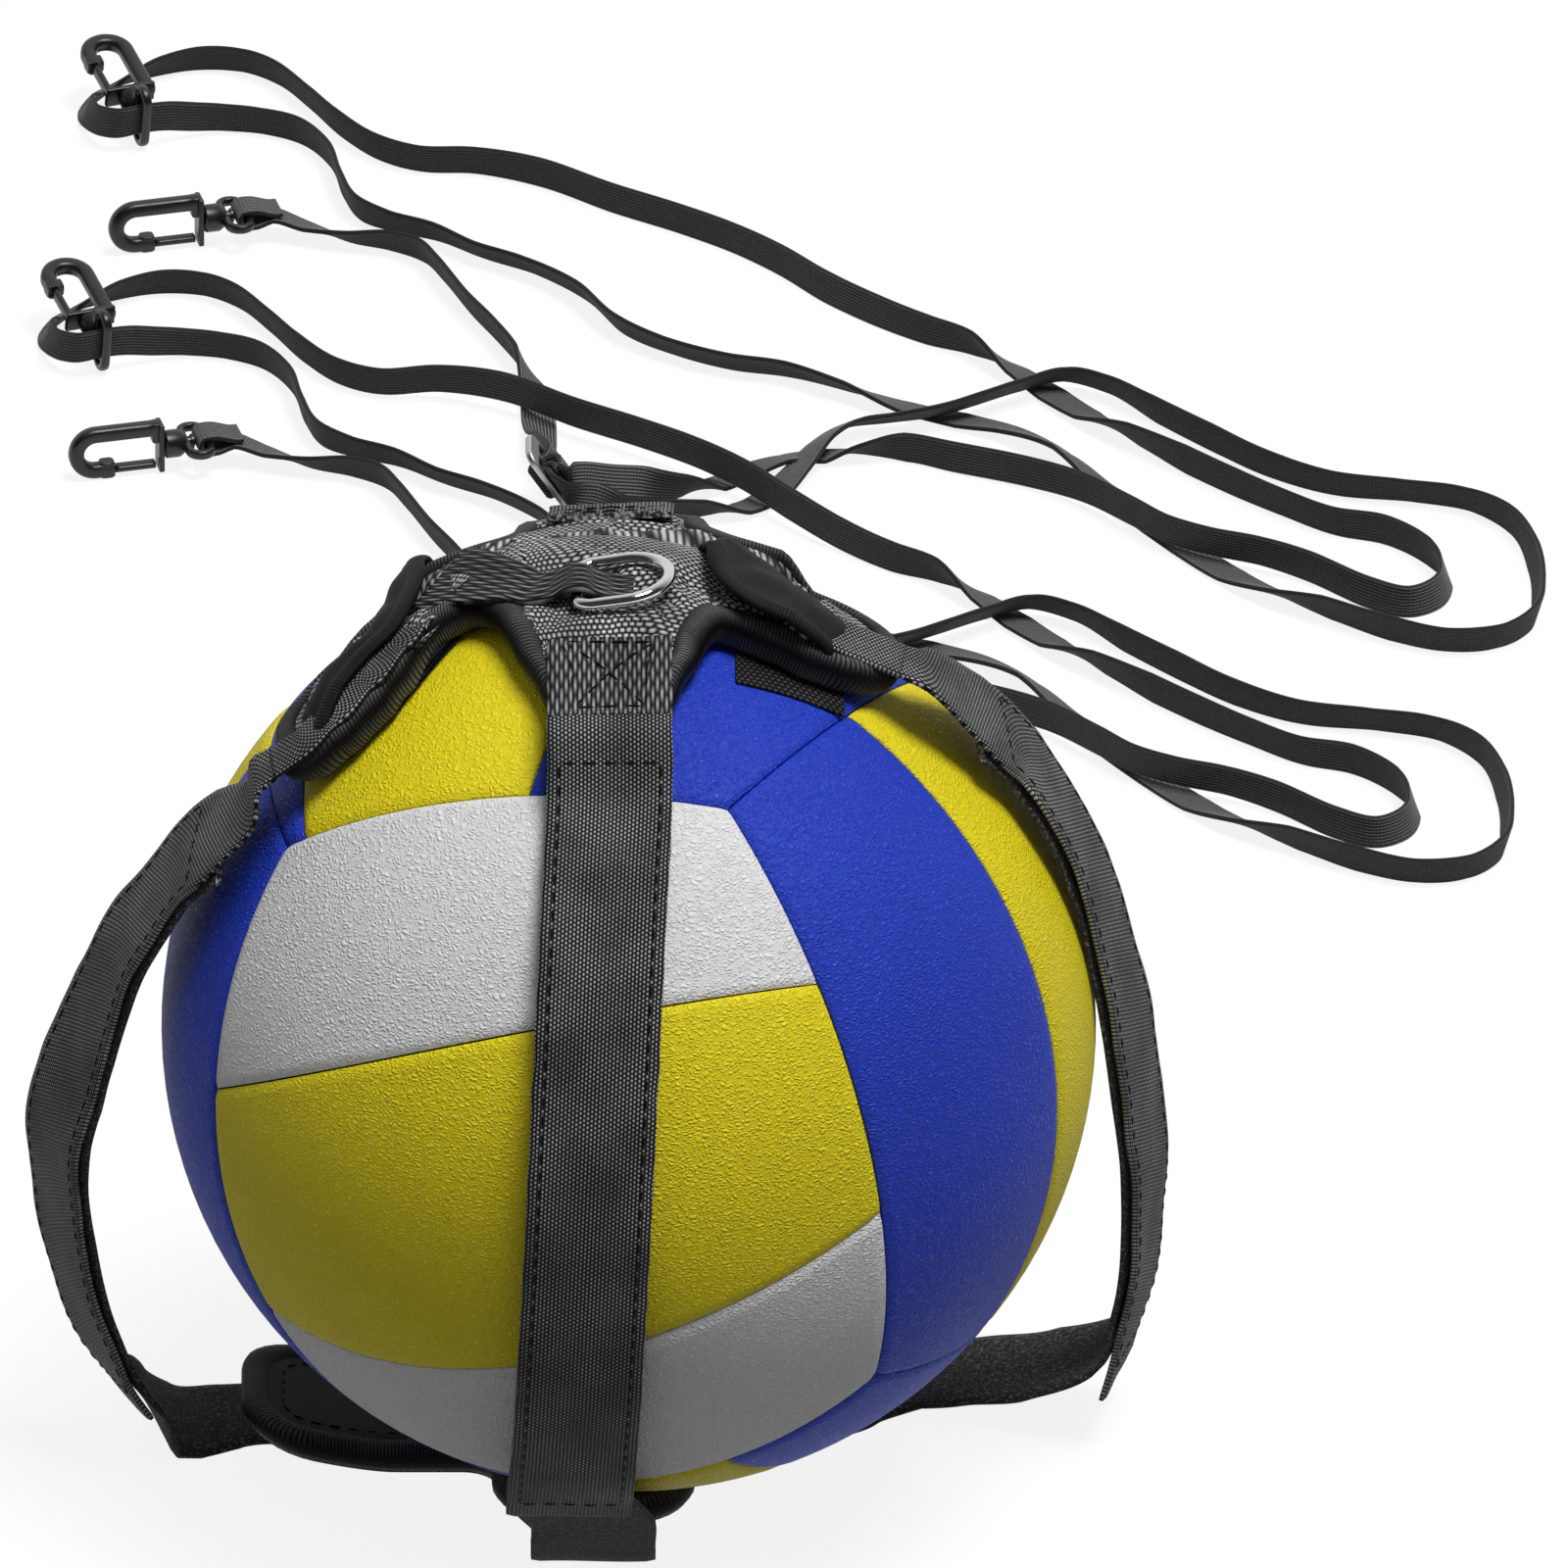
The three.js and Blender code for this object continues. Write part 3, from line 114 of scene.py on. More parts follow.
# Light: a soft bright room and one wide lamp high on the right, in front of the ball.
room = bpy.data.worlds.new("room")
room.use_nodes = True
air = room.node_tree
air.nodes.clear()
room_light = node(air, "ShaderNodeBackground", {"Color": (1, 1, 1, 1), "Strength": 0.2})
room_seen = node(air, "ShaderNodeBackground", {"Color": (1, 1, 1, 1), "Strength": 1.0})
room_rays = node(air, "ShaderNodeLightPath")
room_way = node(air, "ShaderNodeTexCoord")
room_back = node(air, "ShaderNodeSeparateXYZ", {0: room_way.outputs["Generated"]})
room_mirror = node(air, "ShaderNodeBackground", {
    "Strength": mapped(air, room_back.outputs[1], -0.1, 0.7, 0.05, 1.0)})
room_gloss = node(air, "ShaderNodeMixShader", {
    0: room_rays.outputs["Is Glossy Ray"], 1: room_light.outputs[0], 2: room_mirror.outputs[0]})
room_mix = node(air, "ShaderNodeMixShader", {
    0: room_rays.outputs["Is Camera Ray"], 1: room_gloss.outputs[0], 2: room_seen.outputs[0]})
node(air, "ShaderNodeOutputWorld", {"Surface": room_mix.outputs[0]})
bpy.context.scene.world = room
lamp_data = bpy.data.lights.new("wide_lamp", "SUN")
lamp_data.energy = 2.7
lamp_data.angle = math.radians(25)
lamp = linked("wide_lamp", lamp_data)
lamp.rotation_euler = Vector((0.25, -0.17, 0.95)).to_track_quat("Z", "Y").to_euler()

# Floor: a pale sheet that runs out of sight. It glows a little for the camera, so that it comes out
# white where the light is full, and keeps the soft shadows.
floor_size = 6.0
floor_mesh = bpy.data.meshes.new("floor")
floor_mesh.from_pydata([(x * floor_size, y * floor_size, 0) for x, y in ((-1, -1), (1, -1), (1, 1), (-1, 1))],
                       [], [(0, 1, 2, 3)])
floor = linked("floor", floor_mesh)
pale_paper = bpy.data.materials.new("pale_paper")
pale_paper.use_nodes = True
paper = pale_paper.node_tree
paper.nodes.clear()
paper_rays = node(paper, "ShaderNodeLightPath")
paper_seen = node(paper, "ShaderNodeMath", {
    0: paper_rays.outputs["Is Camera Ray"], 1: paper_rays.outputs["Is Glossy Ray"]}, operation="MAXIMUM")
paper_grain = node(paper, "ShaderNodeTexNoise", {"Scale": 900.0})
paper_bump = node(paper, "ShaderNodeBump", {"Height": paper_grain.outputs[0], "Strength": 0.02})
paper_diffuse = node(paper, "ShaderNodeBsdfDiffuse", {
    "Color": (0.15, 0.15, 0.15, 1), "Normal": paper_bump.outputs[0]})
paper_strength = node(paper, "ShaderNodeMath", {0: paper_seen.outputs[0], 1: 0.87}, operation="MULTIPLY")
paper_glow = node(paper, "ShaderNodeEmission", {"Strength": paper_strength.outputs[0]})
paper_sum = node(paper, "ShaderNodeAddShader", {0: paper_diffuse.outputs[0], 1: paper_glow.outputs[0]})
node(paper, "ShaderNodeOutputMaterial", {"Surface": paper_sum.outputs[0]})
floor_mesh.materials.append(pale_paper)

# Elastic straps: two equal flat bands of knitted elastic, each 1.71 m long, with lengthwise ribs.
# One end is sewn round the slider, the other end round the eye of a snap hook. They lie loose on the
# floor behind the ball, mostly on edge.
band_width = 8 * mm
band_thickness = 1.2 * mm
band_ribs = 10
rib_depth = 0.17 * mm
line_step = 1.6 * mm

# Rows of the route: x, y, lean in degrees from standing on edge, and lift off the floor.
band_route = [
    (0.011, 0.466, -24, 0.0003), (0.019, 0.473, -84, 0), (0.027, 0.48, -82, 0), (0.035, 0.484, -70, 0),
    (0.044, 0.487, -82, 0), (0.053, 0.487, -50, 0), (0.063, 0.486, -10, 0), (0.074, 0.481, -4, 0.0002),
    (0.091, 0.473, -4, 0.0006), (0.104, 0.464, -6, 0.0012), (0.116, 0.45, -6, 0.002),
    (0.124, 0.441, -10, 0.0022), (0.134, 0.435, -12, 0.0022), (0.145, 0.4315, -10, 0.0016),
    (0.156, 0.426, -2, 0.0006), (0.17, 0.414, 2, 0), (0.179, 0.4095, 0, 0), (0.1855, 0.414, 10, 0),
    (0.1875, 0.423, 20, 0), (0.184, 0.434, 6, 0), (0.174, 0.445, 6, 0), (0.162, 0.4495, 12, 0),
    (0.15, 0.459, 12, 0), (0.139, 0.469, 8, 0), (0.128, 0.48, 8, 0), (0.116, 0.493, 30, 0),
    (0.105, 0.507, 78, 0), (0.097, 0.518, 84, 0), (0.089, 0.528, 70, 0), (0.079, 0.538, 20, 0),
    (0.068, 0.545, 4, 0), (0.057, 0.554, -2, 0), (0.045, 0.566, -4, 0), (0.034, 0.58, 0, 0),
    (0.023, 0.591, 4, 0), (0.01, 0.601, 6, 0), (-0.005, 0.611, 6, 0), (-0.022, 0.624, 8, 0),
    (-0.037, 0.63, 16, 0), (-0.05, 0.631, 18, 0), (-0.06, 0.637, 16, 0), (-0.069, 0.649, 14, 0),
    (-0.076, 0.662, 18, 0), (-0.084, 0.675, 20, 0), (-0.092, 0.681, 24, 0), (-0.102, 0.682, 24, 0),
    (-0.112, 0.678, 32, 0), (-0.119, 0.673, 48, 0), (-0.124, 0.6675, 58, 0), (-0.127, 0.66, 46, 0.0002),
    (-0.1275, 0.652, 14, 0.0014), (-0.1245, 0.6446, -6, 0.0028), (-0.12, 0.6416, -10, 0.0038),
    (-0.115, 0.6434, -11, 0.004), (-0.1094, 0.6459, -11, 0.0034), (-0.103, 0.6486, -12, 0.0018),
    (-0.096, 0.6506, -16, 0.0006), (-0.087, 0.65, -18, 0), (-0.078, 0.645, -14, 0),
    (-0.071, 0.633, -12, 0), (-0.068, 0.618, -12, 0), (-0.064, 0.606, -18, 0), (-0.056, 0.5996, -30, 0),
    (-0.046, 0.5946, -34, 0), (-0.036, 0.586, -40, 0), (-0.024, 0.578, -40, 0), (-0.012, 0.565, -34, 0),
    (-0.003, 0.548, -32, 0), (0.008, 0.538, -38, 0), (0.022, 0.53, -38, 0), (0.036, 0.526, -40, 0),
    (0.05, 0.518, -50, 0), (0.063, 0.5105, -76, 0), (0.076, 0.505, -84, 0), (0.088, 0.498, -70, 0),
    (0.099, 0.486, -50, 0), (0.108, 0.471, -60, 0), (0.117, 0.457, -80, 0), (0.128, 0.4415, -86, 0),
    (0.138, 0.428, -84, 0), (0.148, 0.417, -60, 0), (0.16, 0.407, -26, 0), (0.174, 0.397, -18, 0),
    (0.188, 0.391, -24, 0), (0.2, 0.393, -24, 0), (0.2075, 0.402, -16, 0), (0.209, 0.416, -18, 0),
    (0.208, 0.432, -14, 0), (0.203, 0.45, 6, 0), (0.193, 0.4605, 24, 0), (0.179, 0.465, 28, 0),
    (0.162, 0.4685, 22, 0), (0.147, 0.478, 14, 0), (0.134, 0.491, 10, 0), (0.121, 0.505, 14, 0),
    (0.11, 0.517, 32, 0.0006), (0.1, 0.5206, 44, 0.0017), (0.089, 0.515, 44, 0.0016),
    (0.08, 0.5086, 44, 0.0017), (0.071, 0.503, 46, 0.0017), (0.06, 0.501, 52, 0.001),
    (0.051, 0.498, 56, 0.0014), (0.044, 0.489, 56, 0.0018), (0.038, 0.478, 70, 0.0008),
    (0.032, 0.468, 84, 0), (0.025, 0.4605, 80, 0), (0.016, 0.4566, 38, 0), (0.007, 0.4554, 32, 0.0004),
    (-0.002, 0.4546, 32, 0.0014),
]
lead_route = [
    (-0.0205, 0.481, 26, 0.003), (-0.0214, 0.492, 60, 0.0006), (-0.022, 0.505, 84, 0),
    (-0.023, 0.518, 60, 0), (-0.0265, 0.531, 18, 0), (-0.032, 0.545, 18, 0), (-0.038, 0.558, 20, 0),
    (-0.045, 0.576, 20, 0), (-0.0495, 0.585, 22, 0), (-0.057, 0.59, 30, 0), (-0.067, 0.5934, 50, 0),
    (-0.076, 0.597, 72, 0.0018),
]


def smooth_line(stations, step):
    """Stations of a point and a width direction, filled in with a centripetal Catmull-Rom curve."""
    points = [s[0] for s in stations]
    points = [2 * points[0] - points[1]] + points + [2 * points[-1] - points[-2]]
    filled = []
    for i in range(len(stations) - 1):
        p0, p1, p2, p3 = points[i:i + 4]
        d0, d1, d2 = (max((b - a).length, 1e-7) ** 0.5 for a, b in ((p0, p1), (p1, p2), (p2, p3)))
        t1 = ((p1 - p0) / d0 - (p2 - p0) / (d0 + d1) + (p2 - p1) / d1) * d1
        t2 = ((p2 - p1) / d1 - (p3 - p1) / (d1 + d2) + (p3 - p2) / d2) * d1
        count = max(1, math.ceil((p2 - p1).length / step))
        for k in range(count):
            t = k / count
            place = p1 + t1 * t + (3 * (p2 - p1) - 2 * t1 - t2) * t ** 2 + (2 * (p1 - p2) + t1 + t2) * t ** 3
            filled.append((place, stations[i][1].lerp(stations[i + 1][1], t)))
    filled.append(stations[-1])
    return filled


def make_object(name, points, faces, uvs=None):
    mesh = bpy.data.meshes.new(name)
    mesh.from_pydata(points, [], faces)
    if uvs is not None:
        layer = mesh.uv_layers.new(name="plan")
        for loop in mesh.loops:
            layer.data[loop.index].uv = uvs[loop.vertex_index]
    mesh.polygons.foreach_set("use_smooth", [True] * len(mesh.polygons))
    mesh.update()
    return linked(name, mesh)


def tube_faces(rings, sides, first=0, closed=False, capped=True):
    """Faces between rings of points, counted from the first point; a closed tube joins its own ends."""
    faces = []
    for i in range(rings if closed else rings - 1):
        here, there = first + i * sides, first + (i + 1) % rings * sides
        for k in range(sides):
            m = (k + 1) % sides
            faces.append((here + k, here + m, there + m, there + k))
    if capped and not closed:
        faces.append(tuple(reversed(range(first, first + sides))))
        faces.append(tuple(range(first + (rings - 1) * sides, first + rings * sides)))
    return faces


def sweep(name, line, section, loop=False, floor_level=None):
    """Sweeps a closed section (across, through) along stations; its UV is in mm along and across."""
    points, uvs, run = [], [], 0.0
    for i, (place, across) in enumerate(line):
        before = line[i - 1][0] if loop or i else place
        after = line[(i + 1) % len(line)][0] if loop or i < len(line) - 1 else place
        along = (after - before).normalized()
        side = (across - along * across.dot(along)).normalized()
        face = along.cross(side)
        run += (place - line[i - 1][0]).length if i else 0
        for a, b in section:
            point = place + side * a + face * b
            if floor_level is not None:
                point.z = max(point.z, floor_level)
            points.append(point)
            uvs.append((run / mm, a / mm))
    return make_object(name, points, tube_faces(len(line), len(section), closed=loop), uvs)


def flat_section(width, thickness, ribs=0, depth=0.0, rounding=0.35):
    """A flat strap's section, with lengthwise ribs on both faces and rounded edges."""
    half = width / 2
    high = thickness / 2
    steps = max(2, 2 * ribs)
    top = []
    for i in range(steps + 1):
        share = i / steps
        dip = depth if ribs and i % 2 == 0 and 0 < i < steps else 0
        edge = high * (1 - rounding) if i in (0, steps) else high
        top.append((-half + width * share, edge - dip))
    return top + [(a, -b) for a, b in reversed(top)]


def edge_stations(rows, shift):
    """Stations of a band that stands on edge on the floor, leaning by each row's angle."""
    flat = [Vector((x, y, 0)) for x, y, _, _ in rows]
    made = []
    for i, (x, y, lean, lift) in enumerate(rows):
        along = (flat[min(i + 1, len(flat) - 1)] - flat[max(i - 1, 0)]).normalized()
        cos, sin = math.cos(math.radians(lean)), math.sin(math.radians(lean))
        height = (band_width * abs(cos) + band_thickness * abs(sin)) / 2 + lift
        made.append((Vector((x, y, height)) + shift, Vector((-along.y * sin, along.x * sin, cos))))
    return made


# The slider's place, and the band's way round its bars, as forward and outward steps.
slider_place = Vector((-19 * mm, 461.5 * mm, 9.7 * mm))
slider_lean = math.radians(33.5)
slider_across = Vector((-math.sin(slider_lean), 0, math.cos(slider_lean)))
slider_face = Vector((-math.cos(slider_lean), 0, -math.sin(slider_lean)))
fit = 0.3 * mm
bar_thickness = 1.6 * mm
slider_bar = 1.4 * mm
centre_bar = 1.6 * mm
slider_slot = 4.2 * mm
beside_bar = centre_bar / 2 + fit + band_thickness / 2
beside_band = beside_bar + band_thickness + fit
under_bar = bar_thickness / 2 + fit + band_thickness / 2
outer_bar = centre_bar / 2 + slider_slot + slider_bar / 2
sewn_loop = [
    (outer_bar + 0.4 * mm, -(under_bar + 1.7 * mm)), (outer_bar - 1.6 * mm, -(under_bar + 1.7 * mm)),
    (beside_bar + 0.5 * mm, -2.2 * mm), (beside_bar, -0.6 * mm), (beside_bar * 0.9, beside_bar * 0.7),
    (0, beside_bar + 0.1 * mm), (-beside_bar * 0.9, beside_bar * 0.7), (-beside_bar, -0.8 * mm),
    (-beside_bar * 0.6, -3 * mm), (beside_bar, -(under_bar + 3 * mm)),
    (outer_bar - 1 * mm, -(under_bar + 3.3 * mm)), (outer_bar + 1.4 * mm, -(under_bar + 3.3 * mm))]
passing = [
    (outer_bar + 2 * mm, -under_bar - 0.7 * mm), (outer_bar - 0.2 * mm, -under_bar - 0.15 * mm),
    (outer_bar - 1.8 * mm, -under_bar * 0.6), (beside_band + 0.1 * mm, 0.3 * mm),
    (beside_band * 0.8, beside_band * 0.75), (0, beside_band + 0.2 * mm),
    (-beside_band * 0.8, beside_band * 0.75), (-beside_band - 0.1 * mm, 0.3 * mm),
    (-outer_bar + 1.8 * mm, -under_bar * 0.6), (-outer_bar + 0.6 * mm, -under_bar),
    (-outer_bar - 2 * mm, -under_bar)]
sewn_lead = [(-11 * mm, 456.4 * mm, 11.4 * mm), (-5 * mm, 459.6 * mm, 9 * mm), (2 * mm, 463.4 * mm, 6.6 * mm)]
pass_lead = [(-9 * mm, 452.4 * mm, 8 * mm), (-13.6 * mm, 451.6 * mm, 9.4 * mm)]

# The hooks' places: the middle of the swivel eye, the way to the hook's nose, and how the eye lies.
hook_places = {
    "end": (Vector((-93 * mm, 597.4 * mm, 6.6 * mm)), Vector((-0.969, -0.245, 0)), True),
    "loop": (Vector((-115 * mm, 644 * mm, 8.5 * mm)), Vector((-0.35, 0.933, 0.2)), False),
}
eye_length = 16.4 * mm
eye_width = 7 * mm
eye_wire = 1.9 * mm
eye_height = 2.2 * mm
eye_inside = eye_width / 2 - eye_wire
beside_eye = -eye_inside + fit + band_thickness / 2 + 0.15 * mm
over_eye = eye_height / 2 + fit + band_thickness / 2 + 0.1 * mm
eye_loop = [
    (-eye_width - 1.6 * mm, -1.1 * mm), (-eye_width / 2 - 1.1 * mm, -over_eye + 0.1 * mm),
    (-eye_width / 2 + 1.2 * mm, -over_eye), (-eye_inside + 0.5 * mm, -over_eye + 0.15 * mm),
    (beside_eye, -over_eye / 2), (beside_eye, over_eye / 2), (-eye_inside + 0.5 * mm, over_eye - 0.15 * mm),
    (-eye_width / 2 + 1.2 * mm, over_eye), (-eye_width / 2 - 1.1 * mm, over_eye - 0.1 * mm),
    (-eye_width - 1.6 * mm, 0.7 * mm), (-eye_width - 3.6 * mm, 0.6 * mm)]


def hook_basis(nose, eye_flat):
    x = nose.normalized()
    z = Vector((0, 0, 1))
    if eye_flat:
        return x, z.cross(x).normalized(), z
    z = x.cross(z).normalized()
    return x, z.cross(x), z


def band_stations(shift, lifts):
    def at_slider(forward, out):
        place = slider_place + slider_face * out + Vector((0, -forward, 0)) + shift
        return place, slider_across.copy()

    rows = [(x, y, lean, lift + lifts.get(i, 0)) for i, (x, y, lean, lift) in enumerate(band_route)]
    eye, nose, flat = hook_places["end"]
    x_way, y_way, z_way = hook_basis(nose, flat)
    stations = [at_slider(*step) for step in sewn_loop]
    stations += [(Vector(p) + shift, slider_across.copy()) for p in sewn_lead]
    stations += edge_stations(rows, shift)
    stations += [(Vector(p) + shift, slider_across.copy()) for p in pass_lead]
    stations += [at_slider(*step) for step in passing]
    stations += edge_stations(lead_route, shift)
    stations += [(eye + x_way * along + z_way * rise + shift, y_way.copy()) for along, rise in eye_loop]
    for i in range(1, len(stations)):
        if stations[i][1].dot(stations[i - 1][1]) < 0:
            stations[i] = (stations[i][0], -stations[i][1])
    return stations


def principled(name, **values):
    """A new material with its node tree and Principled shader; plain values go on the shader itself."""
    made = bpy.data.materials.new(name)
    made.use_nodes = True
    tree = made.node_tree
    shader = next(n for n in tree.nodes if n.type == "BSDF_PRINCIPLED")
    for socket, value in values.items():
        shader.inputs[socket.replace("_", " ")].default_value = value
    return made, tree, shader


def math_node(tree, operation, first, second=0.0):
    return node(tree, "ShaderNodeMath", {0: first, 1: second}, operation=operation).outputs[0]


def wave(tree, value, pitch):
    """The size of a sine that has one bump in each pitch."""
    turn = math_node(tree, "MULTIPLY", value, math.pi / pitch)
    return math_node(tree, "ABSOLUTE", math_node(tree, "SINE", turn))


def shaded(tree, shader, share, dark, light):
    """Base colour: a share of the light shade in the dark one."""
    tone = node(tree, "ShaderNodeMix", {0: share, 6: linear(dark), 7: linear(light)}, data_type="RGBA")
    tree.links.new(tone.outputs[2], shader.inputs["Base Color"])


def embossed(tree, shader, height, strength, depth):
    """Bump: a height that stands out by a depth."""
    bump = node(tree, "ShaderNodeBump", {"Height": height, "Strength": strength, "Distance": depth})
    tree.links.new(bump.outputs[0], shader.inputs["Normal"])


# Knitted elastic: dull black yarn in lengthwise ribs, crossed by fine stitches. The stitches are finer
# than the picture shows, so they are drawn at 0.8 mm. The ribs' thin grey line of light is a painted
# highlight in the colour.
knitted_elastic, tree, shader = principled(
    "knitted_elastic", Roughness=0.8, Sheen_Weight=0.12, Sheen_Roughness=0.5)
place = node(tree, "ShaderNodeUVMap", uv_map="plan")
split = node(tree, "ShaderNodeSeparateXYZ", {0: place.outputs[0]})
stitch = wave(tree, split.outputs[0], 0.8)
rib = wave(tree, math_node(tree, "ADD", split.outputs[1], 4.0), 8.0 / band_ribs)
lint = node(tree, "ShaderNodeTexNoise", {"Scale": 2.2, "Detail": 3.0, "Vector": place.outputs[0]})
ridge = math_node(tree, "POWER", rib, 2.5)
crossed = math_node(tree, "ADD", math_node(tree, "MULTIPLY", stitch, 0.5), 0.5)
height = math_node(tree, "MULTIPLY", crossed, ridge)
# Painted highlight: the rib tops are lighter grey in the base colour, with random lint.
painted_glint = math_node(tree, "MULTIPLY", height, math_node(tree, "ADD", lint.outputs[0], 0.25))
shaded(tree, shader, painted_glint, "#060607", "#98989a")
embossed(tree, shader, height, 0.5, 0.2 * mm)

# The near strap is the far one again, moved to the front and a little to the left. Its lifts, by row of
# the route, carry it over the part of the far strap that it crosses.
near_shift = Vector((-8.3 * mm, -113 * mm, 0))
near_lifts = {31: 0.8 * mm, 32: 2.4 * mm, 33: 2.9 * mm, 34: 2.9 * mm, 35: 2.8 * mm, 36: 2.8 * mm,
              37: 2.8 * mm, 38: 1.8 * mm, 39: 0.5 * mm}
strap_sets = {"far": (Vector(), {}), "near": (near_shift, near_lifts)}
bands = {}
for set_name, (shift, lifts) in strap_sets.items():
    stations = smooth_line(band_stations(shift, lifts), line_step)
    section = flat_section(band_width, band_thickness, band_ribs, rib_depth)
    bands[set_name] = sweep(f"{set_name}_elastic", stations, section, floor_level=0.0)
    bands[set_name].data.materials.append(knitted_elastic)
    length = sum((b[0] - a[0]).length for a, b in zip(stations, stations[1:]))
    bands[set_name]["length"] = length
    bands[set_name]["path"] = [c for s in stations for c in s[0]]

# Sliders: small tri-glide plates of plated steel with two slots, bright where the edges are rubbed.
# The band passes up through one slot, over the middle bar and down through the other.
slider_length = 19.6 * mm
slider_wide = outer_bar + slider_bar / 2
slider_corner = 3.4 * mm
slot_length = 11.5 * mm
edge_round = 0.45 * mm


def arc(centre_x, centre_y, radius, start, end, steps=8):
    turns = [math.radians(start + (end - start) * i / steps) for i in range(steps + 1)]
    return [(centre_x + radius * math.cos(t), centre_y + radius * math.sin(t)) for t in turns]


def oblong(half_x, half_y, corner, steps=8):
    """A rounded rectangle's outline, counterclockwise."""
    outline = []
    for turn, (sx, sy) in enumerate(((1, 1), (-1, 1), (-1, -1), (1, -1))):
        centre = (sx * (half_x - corner), sy * (half_y - corner))
        outline += arc(*centre, corner, 90 * turn, 90 * turn + 90, steps)
    return outline


def plate(name, outline, holes, thickness, bevel):
    """A flat plate with holes through it, rounded along its edges."""
    curve = bpy.data.curves.new(name, "CURVE")
    curve.dimensions = "2D"
    curve.fill_mode = "BOTH"
    curve.extrude = thickness / 2 - bevel
    curve.bevel_depth = bevel
    curve.bevel_resolution = 2
    curve.offset = -bevel
    for ring in [outline, *holes]:
        spline = curve.splines.new("POLY")
        spline.points.add(len(ring) - 1)
        for point, (x, y) in zip(spline.points, ring):
            point.co = (x, y, 0, 1)
        spline.use_cyclic_u = True
    drawn = linked(name + "_drawn", curve)
    bpy.context.view_layer.update()
    mesh = bpy.data.meshes.new_from_object(drawn.evaluated_get(bpy.context.evaluated_depsgraph_get()))
    bpy.data.objects.remove(drawn)
    mesh.name = name
    return linked(name, mesh)


def placed(obj, x_way, y_way, z_way, place):
    """Moves a piece's mesh from its own axes to its place."""
    turn = Matrix((x_way, y_way, z_way)).transposed().to_4x4()
    obj.data.transform(Matrix.Translation(place) @ turn)
    obj.data.update()
    return obj


def roughened(tree, shader, share, low, high):
    """Roughness: from low to high by a share."""
    tree.links.new(mapped(tree, share, 0.0, 1.0, low, high), shader.inputs["Roughness"])


def fitted(piece, cad_node=None, material=None, body="trainer"):
    """Gives a piece its material and the body that it rides on, and hides the CAD node that it stands for."""
    if material:
        piece.data.materials.append(material)
    if cad_node:
        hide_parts(cad_node)
    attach(piece, body)


# Plated steel, brushed along the plate: satin grey with fine lines, nearly mirror-bright on worn edges.
plated_steel, tree, shader = principled("plated_steel", Metallic=1.0)
place = node(tree, "ShaderNodeTexCoord")
shape = node(tree, "ShaderNodeNewGeometry")
brush = node(tree, "ShaderNodeMapping", {0: place.outputs["Object"], 3: (400.0, 400.0, 6000.0)})
lines = node(tree, "ShaderNodeTexNoise", {0: brush.outputs[0], "Scale": 1.0, "Detail": 2.0})
shaded(tree, shader, mapped(tree, shape.outputs["Pointiness"], 0.5, 0.56), "#6f7072", "#e9e9ea")
roughened(tree, shader, lines.outputs[0], 0.3, 0.46)
embossed(tree, shader, lines.outputs[0], 0.08, 0.05 * mm)

for set_name, (shift, _) in strap_sets.items():
    slots = []
    for side in (-1, 1):
        middle = side * (centre_bar + slider_slot) / 2
        slots.append([(x + middle, y) for x, y in oblong(slider_slot / 2, slot_length / 2, 0.8 * mm, 4)])
    piece = plate(f"{set_name}_slider_plate", oblong(slider_wide, slider_length / 2, slider_corner),
                  slots, bar_thickness, edge_round)
    forward = Vector((0, -1, 0))
    placed(piece, forward, slider_across, forward.cross(slider_across), slider_place + shift)
    fitted(piece, f"{set_name}_slider", plated_steel)

# Snap hooks: moulded black plastic. The frame is one long oval with a stepped tip, closed by a thin
# springy gate. Its stem turns in the barrel of the swivel eye that the elastic is sewn round.
rod_radius = 1.8 * mm
leg_offset = 4.6 * mm
hook_reach = 30.3 * mm
hook_tip = 10.7 * mm
collar_start = 7.9 * mm
collar_thickness = 1.3 * mm
collar_width = 5 * mm
collar_height = 12 * mm
barrel_radius = 3.3 * mm
stem_radius = 1.3 * mm
gate_thickness = 1.8 * mm
gate_width = 3 * mm


def grain(tree, scale, detail):
    """Noise that is fixed to the piece."""
    place = node(tree, "ShaderNodeTexCoord").outputs["Object"]
    return node(tree, "ShaderNodeTexNoise", {0: place, "Scale": scale, "Detail": detail}).outputs[0]


# Moulded polyamide: deep black, glossy, with a faint orange-peel and soft scuffs.
moulded_plastic, tree, shader = principled("moulded_polyamide", IOR=1.53)
scuff = grain(tree, 260.0, 4.0)
shaded(tree, shader, scuff, "#0c0c0d", "#1c1c1e")
roughened(tree, shader, scuff, 0.24, 0.5)
embossed(tree, shader, grain(tree, 900.0, 2.0), 0.12, 0.1 * mm)


def soft_section(half_across, half_through, steps=20):
    """A rounded, slightly square section, as a moulded rod has."""
    made = []
    for i in range(steps):
        turn = 2 * math.pi * i / steps
        cos, sin = math.cos(turn), math.sin(turn)
        made.append((half_across * math.copysign(abs(cos) ** 0.7, cos),
                     half_through * math.copysign(abs(sin) ** 0.7, sin)))
    return made


def joined(name, pieces):
    """Joins meshes that touch or overlap into one piece."""
    for other in pieces[1:]:
        union = pieces[0].modifiers.new("joined", "BOOLEAN")
        union.operation = "UNION"
        union.solver = "EXACT"
        union.object = other
    bpy.context.view_layer.update()
    mesh = bpy.data.meshes.new_from_object(pieces[0].evaluated_get(bpy.context.evaluated_depsgraph_get()))
    for piece in pieces:
        bpy.data.objects.remove(piece)
    mesh.name = name
    mesh.polygons.foreach_set("use_smooth", [True] * len(mesh.polygons))
    mesh.set_sharp_from_angle(angle=math.radians(40))
    return linked(name, mesh)


